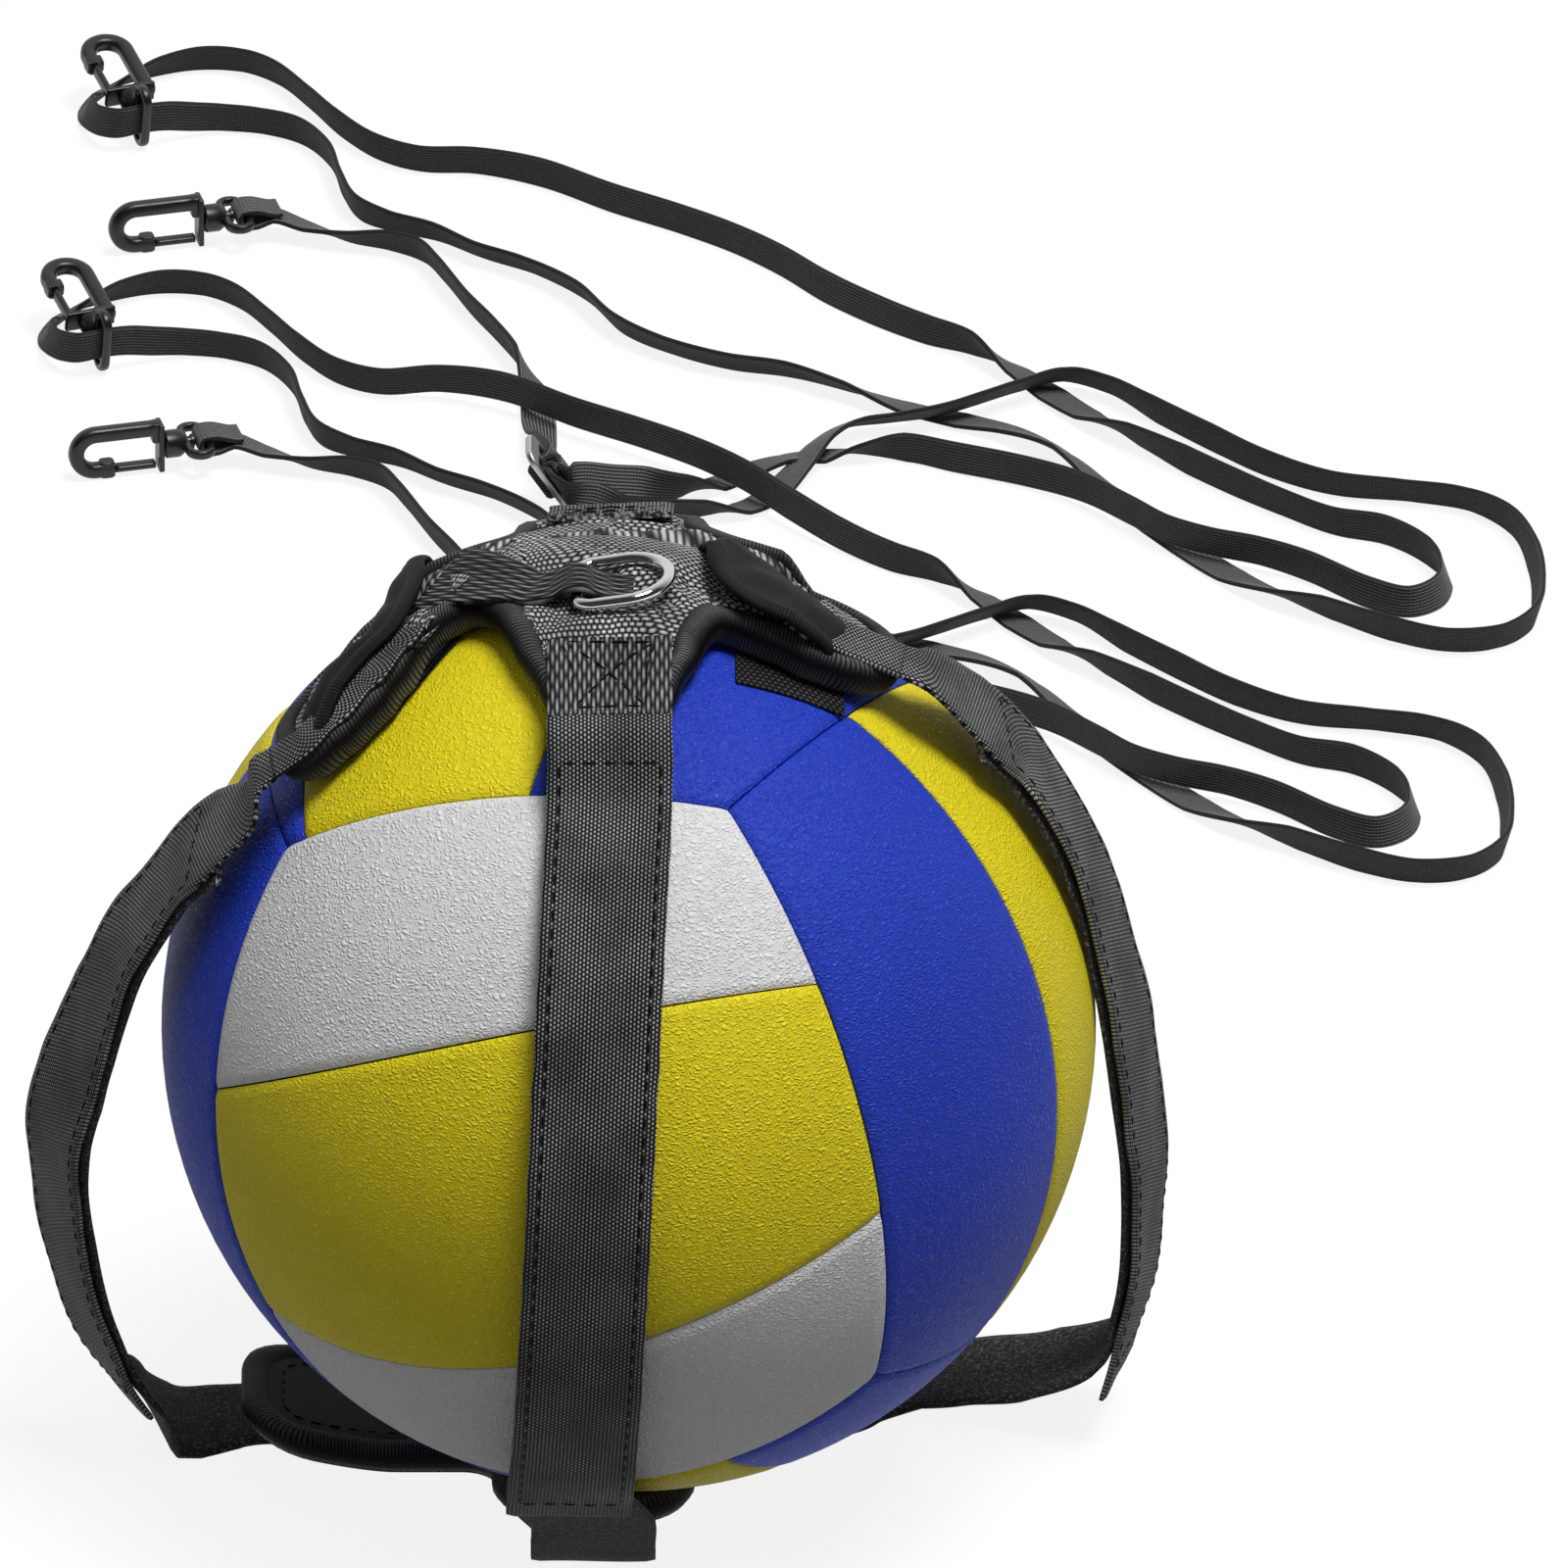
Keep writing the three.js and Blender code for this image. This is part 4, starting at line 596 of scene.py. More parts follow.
def lathe(name, profile, sides=32):
    """A turned piece along X, from stations of x and radius."""
    points = []
    for x, radius in profile:
        for k in range(sides):
            turn = 2 * math.pi * k / sides
            points.append((x, radius * math.cos(turn), radius * math.sin(turn)))
    return make_object(name, points, tube_faces(len(profile), sides))


def block(name, low, high, bevel):
    """A small moulded block with rounded edges, standing in the hook's own axes."""
    size = [b - a for a, b in zip(low, high)]
    made = plate(name, oblong(size[0] / 2, size[1] / 2, min(size[0], size[1]) * 0.3, 3), [], size[2], bevel)
    made.data.transform(Matrix.Translation([(a + b) / 2 for a, b in zip(low, high)]))
    return made


def hook_frame(name):
    y_way = Vector((0, 1, 0))
    nose_middle = hook_reach - leg_offset - rod_radius
    line = [(Vector((collar_start + collar_thickness / 2, 0, leg_offset)), y_way)]
    line.append((Vector((collar_start + 4 * mm, 0, leg_offset)), y_way))
    line += [(Vector((nose_middle + x, 0, z)), y_way) for x, z in arc(0, 0, leg_offset, 90, -90, 24)]
    line.append((Vector((hook_reach - hook_tip, 0, -leg_offset)), y_way))
    rod = sweep(name + "_rod", line, soft_section(rod_radius, rod_radius))
    step_low = (hook_reach - hook_tip - 0.1 * mm, -rod_radius * 0.94, -leg_offset - rod_radius * 0.96)
    step_high = (hook_reach - hook_tip + 3.4 * mm, rod_radius * 0.94, -leg_offset + rod_radius * 1.22)
    step = block(name + "_step", step_low, step_high, 0.3 * mm)
    collar = block(name + "_collar", (collar_start, -collar_width / 2, -collar_height / 2),
                   (collar_start + collar_thickness, collar_width / 2, collar_height / 2), 0.35 * mm)
    root_low = (collar_start + collar_thickness * 0.5, -rod_radius * 0.9, leg_offset - 3.4 * mm)
    root_high = (collar_start + collar_thickness + 1.4 * mm, rod_radius * 0.9, leg_offset + rod_radius * 0.9)
    root = block(name + "_root", root_low, root_high, 0.4 * mm)
    head = eye_inside - fit - 0.8 * mm
    stem = lathe(name + "_stem", [
        (head, 1.5 * mm), (head + 0.15 * mm, 1.75 * mm), (head + 0.7 * mm, 1.75 * mm),
        (head + 0.8 * mm, stem_radius), (collar_start + 0.5 * mm, stem_radius)])
    return joined(name, [rod, step, collar, root, stem])


def swivel_eye(name):
    half = eye_width / 2 - eye_wire / 2
    ring_line = [(Vector((x, y, 0)), Vector((0, 0, 1)))
                 for x, y in oblong(half, eye_length / 2 - eye_wire / 2, half, 12)]
    ring = sweep(name + "_ring", ring_line, soft_section(eye_height / 2, eye_wire / 2), loop=True)
    start = eye_inside + eye_wire / 2
    barrel = lathe(name + "_barrel", [
        (start, 2.3 * mm), (start + 0.8 * mm, barrel_radius - 0.5 * mm), (start + 1.6 * mm, barrel_radius),
        (collar_start - fit - 0.4 * mm, barrel_radius), (collar_start - fit, barrel_radius - 0.4 * mm)])
    return joined(name, [ring, barrel])


def hook_gate(name):
    y_way = Vector((0, 1, 0))
    root = collar_start + collar_thickness + fit + gate_thickness / 2
    end = hook_reach - hook_tip - fit
    steps = (root - gate_thickness * 0.3, root, root + 2 * mm, root + 5 * mm, end - 1 * mm, end)
    line = [(Vector((x, 0, -leg_offset)), y_way) for x in steps]
    return sweep(name, line, soft_section(gate_width / 2, gate_thickness / 2 * 0.94))


hook_pieces = {"far": [], "near": []}
for set_name, (shift, _) in strap_sets.items():
    for end_name, (eye, nose, flat) in hook_places.items():
        way = hook_basis(nose, flat)
        stem = f"{set_name}_{end_name}_hook"
        for maker, part_name, body in ((swivel_eye, "eye", "trainer"), (hook_frame, "body", stem),
                                       (hook_gate, "gate", f"{stem}_gate")):
            piece = placed(maker(f"{stem}_{part_name}_moulding"), *way, eye + shift)
            fitted(piece, f"{stem}_{part_name}", moulded_plastic, body)
            hook_pieces[set_name].append(piece)

for set_name, band in bands.items():
    shift = strap_sets[set_name][0]
    route = band["path"]
    fitted(band, f"{set_name}_elastic_band")

# Ball panels: eighteen cut plates of embossed synthetic leather, glued to the wound carcass edge to edge.
# Their edges are folded down, so that each seam is a narrow soft groove.
ball_radius = 105 * mm
panel_thickness = 2.2 * mm
panel_drop = 0.8 * mm
panel_soft_edge = 2.6 * mm
seam_gap = 0.36 * mm
ball_centre = Vector((0, 0, 113 * mm))
corner = {
    "front_top_left": (-0.733, -0.318, 0.602), "front_top_right": (0.215, -0.542, 0.813),
    "front_base_right": (0.531, -0.697, -0.482), "front_base_left": (-0.52, -0.356, -0.776),
    "back_top_left": (-0.45, 0.814, 0.36), "back_top_right": (0.689, 0.532, 0.489),
    "back_base_right": (0.776, 0.452, -0.44), "back_base_left": (-0.35, 0.463, -0.812)}
corner = {name: Vector(way).normalized() for name, way in corner.items()}
third = (1 / 3, 2 / 3)
# Each face: the corners of its start edge, of its end edge, and where the seams meet both edges.
ball_faces = {
    "front": ("front_top_left", "front_base_left", "front_top_right", "front_base_right",
              (0.365, 0.72), (0.29, 0.66), "white", "yellow", "white"),
    "right": ("front_top_right", "back_top_right", "front_base_right", "back_base_right",
              (0.333, 0.667), (0.36, 0.68), "blue", "yellow", "blue"),
    "top": ("front_top_right", "front_top_left", "back_top_right", "back_top_left",
            (0.415, 0.945), third, "blue", "yellow", "blue"),
    "left": ("back_top_left", "front_top_left", "back_base_left", "front_base_left",
             third, third, "blue", "yellow", "blue"),
    "back": ("back_top_right", "back_base_right", "back_top_left", "back_base_left",
             third, third, "white", "yellow", "white"),
    "base": ("front_base_left", "front_base_right", "back_base_left", "back_base_right",
             (0.34, 0.68), third, "blue", "yellow", "blue"),
}


def leather(name, shade, light):
    """Embossed polyurethane leather: a satin skin with a crinkle of flat cells about 1.4 mm wide and 0.9 mm
    high, between thin furrows. The cells' edges catch small highlights; the furrows get painted shade in the
    colour, mixed with a broad random mottle."""
    made, tree, shader = principled(name, IOR=1.42, Specular_IOR_Level=0.4)
    place = node(tree, "ShaderNodeTexCoord")
    wide = node(tree, "ShaderNodeVectorMath", {
        0: place.outputs["Object"], 1: (1.0, 1.0, 1.6)}, operation="MULTIPLY")
    drift = node(tree, "ShaderNodeTexNoise", {0: place.outputs["Object"], "Scale": 480.0, "Detail": 2.0})
    bent = node(tree, "ShaderNodeMix", {
        0: 0.003, 4: wide.outputs[0], 5: drift.outputs["Color"]}, data_type="VECTOR")
    cells = node(tree, "ShaderNodeTexVoronoi", {
        0: bent.outputs[1], "Scale": 720.0}, feature="DISTANCE_TO_EDGE")
    flat = mapped(tree, cells.outputs["Distance"], 0.0, 0.45, interpolation_type="SMOOTHSTEP")
    # Painted shade: the furrows are darker in the base colour, plus a broad random mottle.
    furrow_shade_and_mottle = math_node(tree, "ADD", math_node(tree, "MULTIPLY", flat, 0.6),
                       math_node(tree, "MULTIPLY", grain(tree, 26.0, 2.0), 0.6))
    shaded(tree, shader, furrow_shade_and_mottle, shade, light)
    roughened(tree, shader, flat, 0.62, 0.42)
    embossed(tree, shader, flat, 0.9, 0.3 * mm)
    return made


leathers = {
    "white": leather("white_embossed_leather", "#dededf", "#f6f6f7"),
    "yellow": leather("yellow_embossed_leather", "#dfce12", "#fbea20"),
    "blue": leather("blue_embossed_leather", "#1a34b0", "#2345cf"),
}


def arc_point(a, b, share):
    angle = a.angle(b)
    return (a * math.sin((1 - share) * angle) + b * math.sin(share * angle)) / math.sin(angle)


def soft_steps(length, count):
    """Steps across a panel as shares: fine beside its edges, even between them."""
    edges = [seam_gap / 2 + panel_soft_edge * t for t in (0, 0.06, 0.16, 0.32, 0.55, 0.8, 1)]
    inner = [edges[-1] + (length - 2 * edges[-1]) * i / count for i in range(1, count)]
    shares = [edge / length for edge in edges]
    return shares + [i / length for i in inner] + [1 - share for share in reversed(shares)]


valve_way = sum((corner[key] for key in ball_faces["back"][:4]), Vector()).normalized()
valve_hole = 3.5 * mm
valve_panel = "panel_back_2"


def ball_panel(name, face, begin, end):
    a, b, c, d = (corner[key] for key in face[:4])
    span = ball_radius * a.angle(c)
    width = ball_radius * a.angle(b) * (begin[1] - begin[0])
    along, across = soft_steps(span, 30), soft_steps(width, 14)
    points = []
    for u in along:
        low = begin[0] + (end[0] - begin[0]) * u
        high = begin[1] + (end[1] - begin[1]) * u
        for v in across:
            share = low + (high - low) * v
            way = arc_point(arc_point(a, b, share), arc_point(c, d, share), u).normalized()
            edge = min(u, 1 - u) * span, min(v, 1 - v) * width
            dip = sum(panel_drop * max(0.0, 1 - e / panel_soft_edge) ** 2.2 for e in edge)
            aside = (way - valve_way * way.dot(valve_way)) * ball_radius
            beside_hole = way.dot(valve_way) > 0 and valve_hole * 0.6 < aside.length < valve_hole * 1.8
            if name == valve_panel and beside_hole:
                hole_edge = aside.normalized() * valve_hole / ball_radius
                way = (valve_way * way.dot(valve_way) + hole_edge).normalized()
            points.append(way * (ball_radius - min(dip, panel_drop * 1.3)) + ball_centre)
    columns = len(across)
    faces = []
    for i in range(len(along) - 1):
        for j in range(columns - 1):
            p = i * columns + j
            faces.append((p, p + columns, p + columns + 1, p + 1))
    if name == valve_panel:
        def off_axis(p):
            way = points[p] - ball_centre
            return (way - valve_way * way.dot(valve_way)).length if way.dot(valve_way) > 0 else 1
        faces = [f for f in faces if not all(off_axis(p) < valve_hole * 1.02 for p in f)]
    rim = list(range(columns - 1)) + [i * columns + columns - 1 for i in range(len(along) - 1)]
    rim += [(len(along) - 1) * columns + j for j in range(columns - 1, 0, -1)]
    rim += [i * columns for i in range(len(along) - 1, 0, -1)]
    base = len(points)
    inside = ball_radius - panel_thickness
    points += [ball_centre + (points[p] - ball_centre).normalized() * inside for p in rim]
    for k, p in enumerate(rim):
        m = (k + 1) % len(rim)
        faces.append((p, rim[m], base + m, base + k))
    return make_object(name + "_leather", points, faces)


for face_name, face in ball_faces.items():
    starts, ends = [0, *face[4], 1], [0, *face[5], 1]
    for i, colour in enumerate(face[6:]):
        panel_name = f"panel_{face_name}_{i + 1}"
        panel = ball_panel(panel_name, face, starts[i:i + 2], ends[i:i + 2])
        fitted(panel, panel_name, leathers[colour])

# Inside the ball: a rubber bladder wound with glued thread, and a black rubber valve with a small bore.
# The winding shows only as a dark line at the bottom of the seams.
thread_winding, tree, shader = principled("glued_thread_winding", Roughness=0.9)
place = node(tree, "ShaderNodeTexCoord")
turns = node(tree, "ShaderNodeTexWave", {0: place.outputs["Object"], "Scale": 300.0, "Distortion": 6.0})
shaded(tree, shader, turns.outputs[0], "#5c5648", "#8d8573")
embossed(tree, shader, turns.outputs[0], 0.4, 0.3 * mm)
butyl_rubber, tree, shader = principled("moulded_butyl_rubber", IOR=1.52)
cloud = grain(tree, 700.0, 3.0)
shaded(tree, shader, cloud, "#1a1a1a", "#2c2c2c")
roughened(tree, shader, cloud, 0.5, 0.75)
embossed(tree, shader, cloud, 0.1, 0.2 * mm)


def dress(name, material):
    """Gives a carried-over CAD node its material."""
    for place in frame["nodes"][name].material_slots:
        place.material = material


dress("ball_carcass", thread_winding)
dress("ball_bladder", butyl_rubber)
valve_profile = [(-9.5, 7), (-8, 7), (-7.8, 3.2), (-1.2, 3.2), (-0.3, 3.1), (0.05, 2.7), (0.1, 2.2),
                 (-0.15, 1.5), (-0.6, 0.7), (-4, 0.6)]
valve = lathe("ball_valve_rubber", [(x * mm, r * mm) for x, r in valve_profile], 28)
side_way = valve_way.orthogonal().normalized()
placed(valve, valve_way, side_way, valve_way.cross(side_way), ball_centre + valve_way * ball_radius)
fitted(valve, "ball_valve", butyl_rubber)

# Shapes that the pads, straps and ring share: the pads' rounded cross, and plan points bent over the ball.
# The top pad lies a little behind the ball's top, with its side arms pulled to the front and creased.
arm_width = 43 * mm
arm_corner = 15 * mm
crotch_radius = 8 * mm
top_arms = {"right": 65 * mm, "back": 60 * mm, "left": 80 * mm, "front": 58 * mm}
base_arms = {"right": 46 * mm, "back": 45 * mm, "left": 78 * mm, "front": 46 * mm}
lobe_curl = {"right": 1.5 * mm, "back": 1.5 * mm, "left": 1 * mm, "front": 0}
lobe_curl_start = 48 * mm
top_shift = Vector((-4 * mm, 10 * mm))
ball_clearance = 1.2 * mm
foam_thickness = 4.6 * mm
lining_top = 1 * mm
cover_base = lining_top + fit + foam_thickness + fit
pad_top = cover_base + 1.2 * mm


def cross_outline(arms, grow=0.0):
    """The cross with rounded arm ends and filleted crotches, as points about 2 mm apart."""
    half, bend, crotch = arm_width / 2 + grow, arm_corner + grow, crotch_radius - grow
    outline = []
    for turn, side in enumerate(("right", "back", "left", "front")):
        reach = arms[side] + grow
        edge = [half + crotch + (reach - bend - half - crotch) * i / 12 for i in range(12)]
        local = [(x, -half) for x in edge]
        for side_sign in (-1, 1):
            for step in range(9):
                angle = math.radians(11.25 * step - (90 if side_sign < 0 else 0))
                local.append((reach - bend + bend * math.cos(angle),
                              side_sign * (half - bend) + bend * math.sin(angle)))
        local += [(x, half) for x in reversed(edge)]
        for step in range(1, 7):
            angle = math.radians(-90 - 90 * step / 7)
            local.append((half + crotch + crotch * math.cos(angle), half + crotch + crotch * math.sin(angle)))
        cos, sin = math.cos(turn * math.pi / 2), math.sin(turn * math.pi / 2)
        outline += [Vector((x * cos - y * sin, x * sin + y * cos)) for x, y in local]
    return outline


# Rows: share of the arm's reach, then the front edge's shift and the arm's width, as shares of its width.
arm_pulls = {
    "right": [(0.25, 0, 1), (0.32, -0.12, 1.08), (0.58, -0.13, 1.05), (0.7, -0.19, 0.6), (1.1, -0.21, 0.55)],
    "left": [(0.25, 0, 1), (0.34, 0.1, 0.93), (0.5, 0.09, 0.9), (0.6, -0.17, 0.86), (0.69, -0.34, 0.76),
             (0.8, -0.45, 0.64), (0.92, -0.53, 0.6), (1.1, -0.53, 0.6)],
    "front": [(0.4, 0, 1), (0.62, 0, 0.86), (0.8, 0, 0.7), (1.1, 0, 0.66)]}
notch_at = Vector((-0.6, -0.56)) * arm_width
notch_by = Vector((-0.07, 0.2)) * arm_width


def arm_pull(side, share):
    rows = arm_pulls[side]
    after = next((i for i, row in enumerate(rows) if row[0] >= share), len(rows))
    if after == 0 or after == len(rows):
        return rows[min(after, len(rows) - 1)][1:]
    t = (share - rows[after - 1][0]) / (rows[after][0] - rows[after - 1][0])
    t = t * t * (3 - 2 * t)
    return [rows[after - 1][i] * (1 - t) + rows[after][i] * t for i in (1, 2)]


def pulled(point):
    aside = abs(point.x) - abs(point.y)
    flat = Vector(point[:2])
    if aside > 0:
        side = "right" if point.x > 0 else "left"
        shift, width = arm_pull(side, abs(point.x) / top_arms[side])
        moved = shift * arm_width - arm_width / 2 + (point.y + arm_width / 2) * width
        flat.y += (moved - point.y) * min(1, 2.5 * aside / abs(point.x))
    ahead = -point.y - abs(point.x)
    if ahead > 0:
        shift, width = arm_pull("front", -point.y / top_arms["front"])
        flat.x += (shift * arm_width + point.x * width - point.x) * min(1, 2.5 * ahead / -point.y)
    flat += notch_by * math.exp(-((Vector(point[:2]) - notch_at).length / (0.32 * arm_width)) ** 2)
    return flat


def curl_lift(point):
    if abs(point.x) > abs(point.y):
        side = "right" if point.x > 0 else "left"
    else:
        side = "back" if point.y > 0 else "front"
    along = max(abs(point.x), abs(point.y))
    return lobe_curl[side] * (max(0, along - lobe_curl_start) / (top_arms[side] - lobe_curl_start)) ** 2


def over_ball(point, height):
    """A pulled point of the pad's plan, bent over the ball at a height above its skin."""
    radius = ball_radius + ball_clearance
    flat = Vector((point.x + top_shift.x, point.y + top_shift.y))
    polar = flat.length / (radius + foam_thickness)
    turn = math.atan2(flat.y, flat.x)
    out = radius + height + curl_lift(point)
    aside = out * math.sin(polar)
    return ball_centre + Vector((aside * math.cos(turn), aside * math.sin(turn), out * math.cos(polar)))


def ribbed(rows, uvs, name):
    """A surface through rows of points, each of which runs round the piece."""
    points = [p for row in rows for p in row]
    return make_object(name, points, tube_faces(len(rows), len(rows[0]), capped=False), uvs)


# Base pad, the cross under the ball: woven cover below, thin foam, smooth lining on top, and a ribbed tape
# sewn round its edge. It lies on the webbing. Its left lobe is free of the ball and bends up a little.
pad_centre = Vector((-8 * mm, 15 * mm))
base_low = 1.6 * mm + fit
base_cover_top = base_low + 1.2 * mm
base_top = base_cover_top + fit + 2.6 * mm + 1 * mm + fit


def woven(name, dark, light, along_pitch, across_pitch, depth, coarse=False, sharp=3.4):
    """Woven nylon: bundles of dull black thread go over and under each other, and each bundle's back has a
    painted grey highlight line in its colour, with random lint, dimmed in broad patches by painted shade of
    folds. The threads are finer than the picture shows, so bundles are drawn."""
    made, tree, shader = principled(name, Roughness=0.65, Specular_IOR_Level=0.12)
    place = node(tree, "ShaderNodeUVMap", uv_map="plan")
    split = node(tree, "ShaderNodeSeparateXYZ", {0: place.outputs[0]})
    row = math_node(tree, "FLOOR", math_node(tree, "DIVIDE", split.outputs[1], across_pitch))
    moved = math_node(tree, "ADD", split.outputs[0], math_node(tree, "MULTIPLY", row, along_pitch / 2))
    bundle = math_node(tree, "POWER", wave(tree, split.outputs[1], across_pitch), 0.6)
    over = wave(tree, moved, along_pitch)
    if coarse:
        height = math_node(tree, "MULTIPLY", bundle, math_node(tree, "POWER", over, 0.6))
    else:
        height = math_node(tree, "MULTIPLY", bundle, math_node(
            tree, "ADD", math_node(tree, "MULTIPLY", over, 0.6), 0.4))
    lint = node(tree, "ShaderNodeTexNoise", {"Scale": 0.9, "Detail": 4.0, "Vector": place.outputs[0]})
    # Painted shade: broad noise patches dim the painted highlights, as folds in shade would.
    fold_shade_noise = node(tree, "ShaderNodeTexNoise", {"Scale": 0.06, "Detail": 2.0, "Vector": place.outputs[0]})
    fold_shade = mapped(tree, fold_shade_noise.outputs[0], 0.36, 0.62, 0.62, 1.1)
    lint_and_fold_shade = math_node(tree, "MULTIPLY", math_node(tree, "ADD", lint.outputs[0], 0.4), fold_shade)
    # Painted highlight: each bundle's back is lighter grey in the base colour.
    painted_glint = math_node(tree, "MULTIPLY", math_node(tree, "POWER", height, sharp), lint_and_fold_shade)
    shaded(tree, shader, painted_glint, dark, light)
    embossed(tree, shader, height, 0.6, depth)
    return made


basket_cloth = woven("basket_woven_nylon", "#030304", "#f0f0f2", 1.7, 1.45, 0.4 * mm, coarse=True, sharp=2.9)
webbing = woven("nylon_webbing", "#030304", "#cfcfd1", 1.05, 0.85, 0.2 * mm, sharp=5.0)
pulled_webbing = woven("tight_nylon_webbing", "#030304", "#b2b2b4", 6.0, 1.02, 0.3 * mm, sharp=3.5)
ribbed_tape = woven("ribbed_binding_tape", "#060607", "#6e6e70", 0.8, 9.0, 0.3 * mm)
lining_cloth = woven("brushed_lining_cloth", "#0e0e0f", "#2c2c2e", 0.8, 0.8, 0.08 * mm, sharp=1.0)
ring_webbing = woven("ribbed_tunnel_webbing", "#040405", "#9c9c9e", 9.0, 1.15, 0.35 * mm, sharp=4.5)
stitch_thread = woven("twisted_polyester_thread", "#060607", "#242426", 0.7, 0.7, 0.1 * mm)


def base_lift(p):
    """The left lobe bends up off the floor, most at its end."""
    return 7 * mm * (max(0, -p.x - 45 * mm) / (33 * mm)) ** 1.5


inward = [1, 0.97, 0.9, 0.8, 0.65, 0.5, 0.35, 0.2, 0.08, 0.001]
swell = [0.5, 0.8, 1, 1, 1, 1, 1, 1, 1, 1]


def base_layer(name, low, rise):
    """A layer of the base pad on rings of its outline: out along its flat underside, back over its top."""
    outline = cross_outline(base_arms)
    heights = [low] * len(inward) + [low + rise * share for share in swell]
    rows, uvs = [], []
    for share, height in zip([*reversed(inward), *inward], heights):
        rows.append([Vector((p.x * share + pad_centre.x, p.y * share + pad_centre.y,
                             height + base_lift(p * share))) for p in outline])
        uvs += [(p.x * share / mm, p.y * share / mm) for p in outline]
    return ribbed(rows, uvs, name)


for layer, low, rise, material, finish in (
        ("cover", base_low, base_cover_top - base_low, basket_cloth, "nylon_cloth"),
        ("foam", base_cover_top + fit, 2.4 * mm, lining_cloth, "foam"),
        ("lining", base_top - 0.9 * mm, 1.1 * mm, lining_cloth, "lining_cloth")):
    piece = base_layer(f"base_pad_{layer}_cloth", low, rise)
    fitted(piece, f"base_pad_{layer}", material)


def binding(name, arms, rows, bend):
    """A tape folded over the edge: rows of how far it stands out and how high, from top to bottom."""
    outlines = [cross_outline(arms, grow) for grow, _ in rows]
    first = outlines[0]
    run, runs = 0.0, []
    for here, after in zip(first, first[1:] + first[:1]):
        runs.append(run / mm)
        run += (after - here).length
    points = [[bend(p, height) for p in outline] for outline, (_, height) in zip(outlines, rows)]
    uvs = [(along, 2.0 * i) for i in range(len(rows) + 1) for along in runs]
    return ribbed(points + [points[0]], uvs, name)


def on_base(p, height):
    return Vector((p.x + pad_centre.x, p.y + pad_centre.y, height + base_lift(p)))


tape_rows = [(-5, 0.2), (-3.2, 0.9), (-1, 0.8), (0.8, 0), (1.5, -1.6), (1.4, -3.4), (0.4, -4.8), (-2, -5.2),
             (-5, -5)]
base_tape = binding("base_pad_binding_tape", base_arms, [
    (out * mm, base_top + min(high, 0.9) * mm) for out, high in tape_rows], on_base)
fitted(base_tape, "base_pad_binding", ribbed_tape)

stitch_length = 3.2 * mm
stitch_gap = 1 * mm
stitch_rings = 7
stitch_sides = 6


def stitches(name, line, across_way, body, thick=0.3 * mm):
    """A row of sewn stitches along a line of points: short rounded threads that dip at both ends."""
    total = sum((b - a).length for a, b in zip(line, line[1:]))
    count = max(1, int(total / (stitch_length + stitch_gap)))
    step = total / count
    points, faces, uvs = [], [], []

    def at(run):
        for a, b in zip(line, line[1:]):
            span = (b - a).length
            if run <= span or b is line[-1]:
                return a + (b - a) * min(1, run / span), (b - a).normalized()
            run -= span

    for s in range(count):
        faces += tube_faces(stitch_rings, stitch_sides, len(points))
        for i in range(stitch_rings):
            share = i / (stitch_rings - 1)
            place, along = at(step * s + stitch_gap / 2 + (step - stitch_gap) * share)
            up = across_way(place)
            side = along.cross(up).normalized()
            lift = thick * (0.8 * math.sin(math.pi * share) - 0.5)
            girth = thick * 0.3
            if 0 < share < 1:
                girth = thick * (0.35 + 0.65 * math.sin(math.pi * share) ** 0.5)
            for k in range(stitch_sides):
                turn = math.tau * k / stitch_sides
                points.append(place + up * (lift + girth * math.sin(turn)) + side * girth * math.cos(turn))
                uvs.append((share * 3, k))
    fitted(make_object(name, points, faces, uvs), None, stitch_thread, body)


base_seam = [on_base(p, base_top + 0.25 * mm) for p in cross_outline(base_arms, -8 * mm)]
stitches("base_pad_seam", base_seam + base_seam[:1], lambda p: Vector((0, 0, 1)), "trainer")

# Top pad, a padded cross over the ball: smooth lining below, foam, coarse basket cloth on top, and a wide
# ribbed tape folded round the edge and sewn down. The foam fills the cloth between the seams.
top_centre = Vector((-0.42 * arm_width, 0.28 * arm_width))


def fabric_ripple(p, size, depth, seed):
    return depth * noise.noise(Vector((p.x / size, p.y / size, seed)))


# Rings of each layer, from the middle out along its underside and then back over its top.
pad_rings = 26


def pad_cloth(name, low, high, crown):
    """A closed layer of the top pad on rings of its outline, crowned between its seams."""
    flat = cross_outline(top_arms, -0.6 * mm)
    edge = [pulled(p) for p in flat]
    rows, uvs = [], []
    for level in (0, 1):
        for i in range(pad_rings):
            share = 0.001 + 0.999 * (i / (pad_rings - 1)) ** 0.8
            share = share if level == 0 else 1.001 - share
            row = []
            for p, q in zip(edge, flat):
                at = top_centre.lerp(p, share)
                seam = (1 - share) * (p - top_centre).length
                swell = 1 - math.exp(-seam / (5 * mm))
                height = low
                if level:
                    height = low + (high - low) * (0.35 + 0.65 * swell) + crown * swell
                    height += fabric_ripple(at, 17 * mm, 0.9 * mm, 3) * swell
                    height += fabric_ripple(at, 6 * mm, 0.3 * mm, 8) * swell
                row.append(over_ball(at, height))
                cloth = top_centre.lerp(q, share)
                uvs.append((cloth.x / mm, cloth.y / mm))
            rows.append(row)
    return ribbed(rows, uvs, name)


# Held rings: the underside, the seam and the first rings of the top. The middle rings move as one, with
# the ring beside them, because they are too small to swell by themselves.
held_rings = pad_rings + 3
middle_rings = 5
puff_frames = 20
puff_slack = 0.06
puff_cap = 1.3 * mm


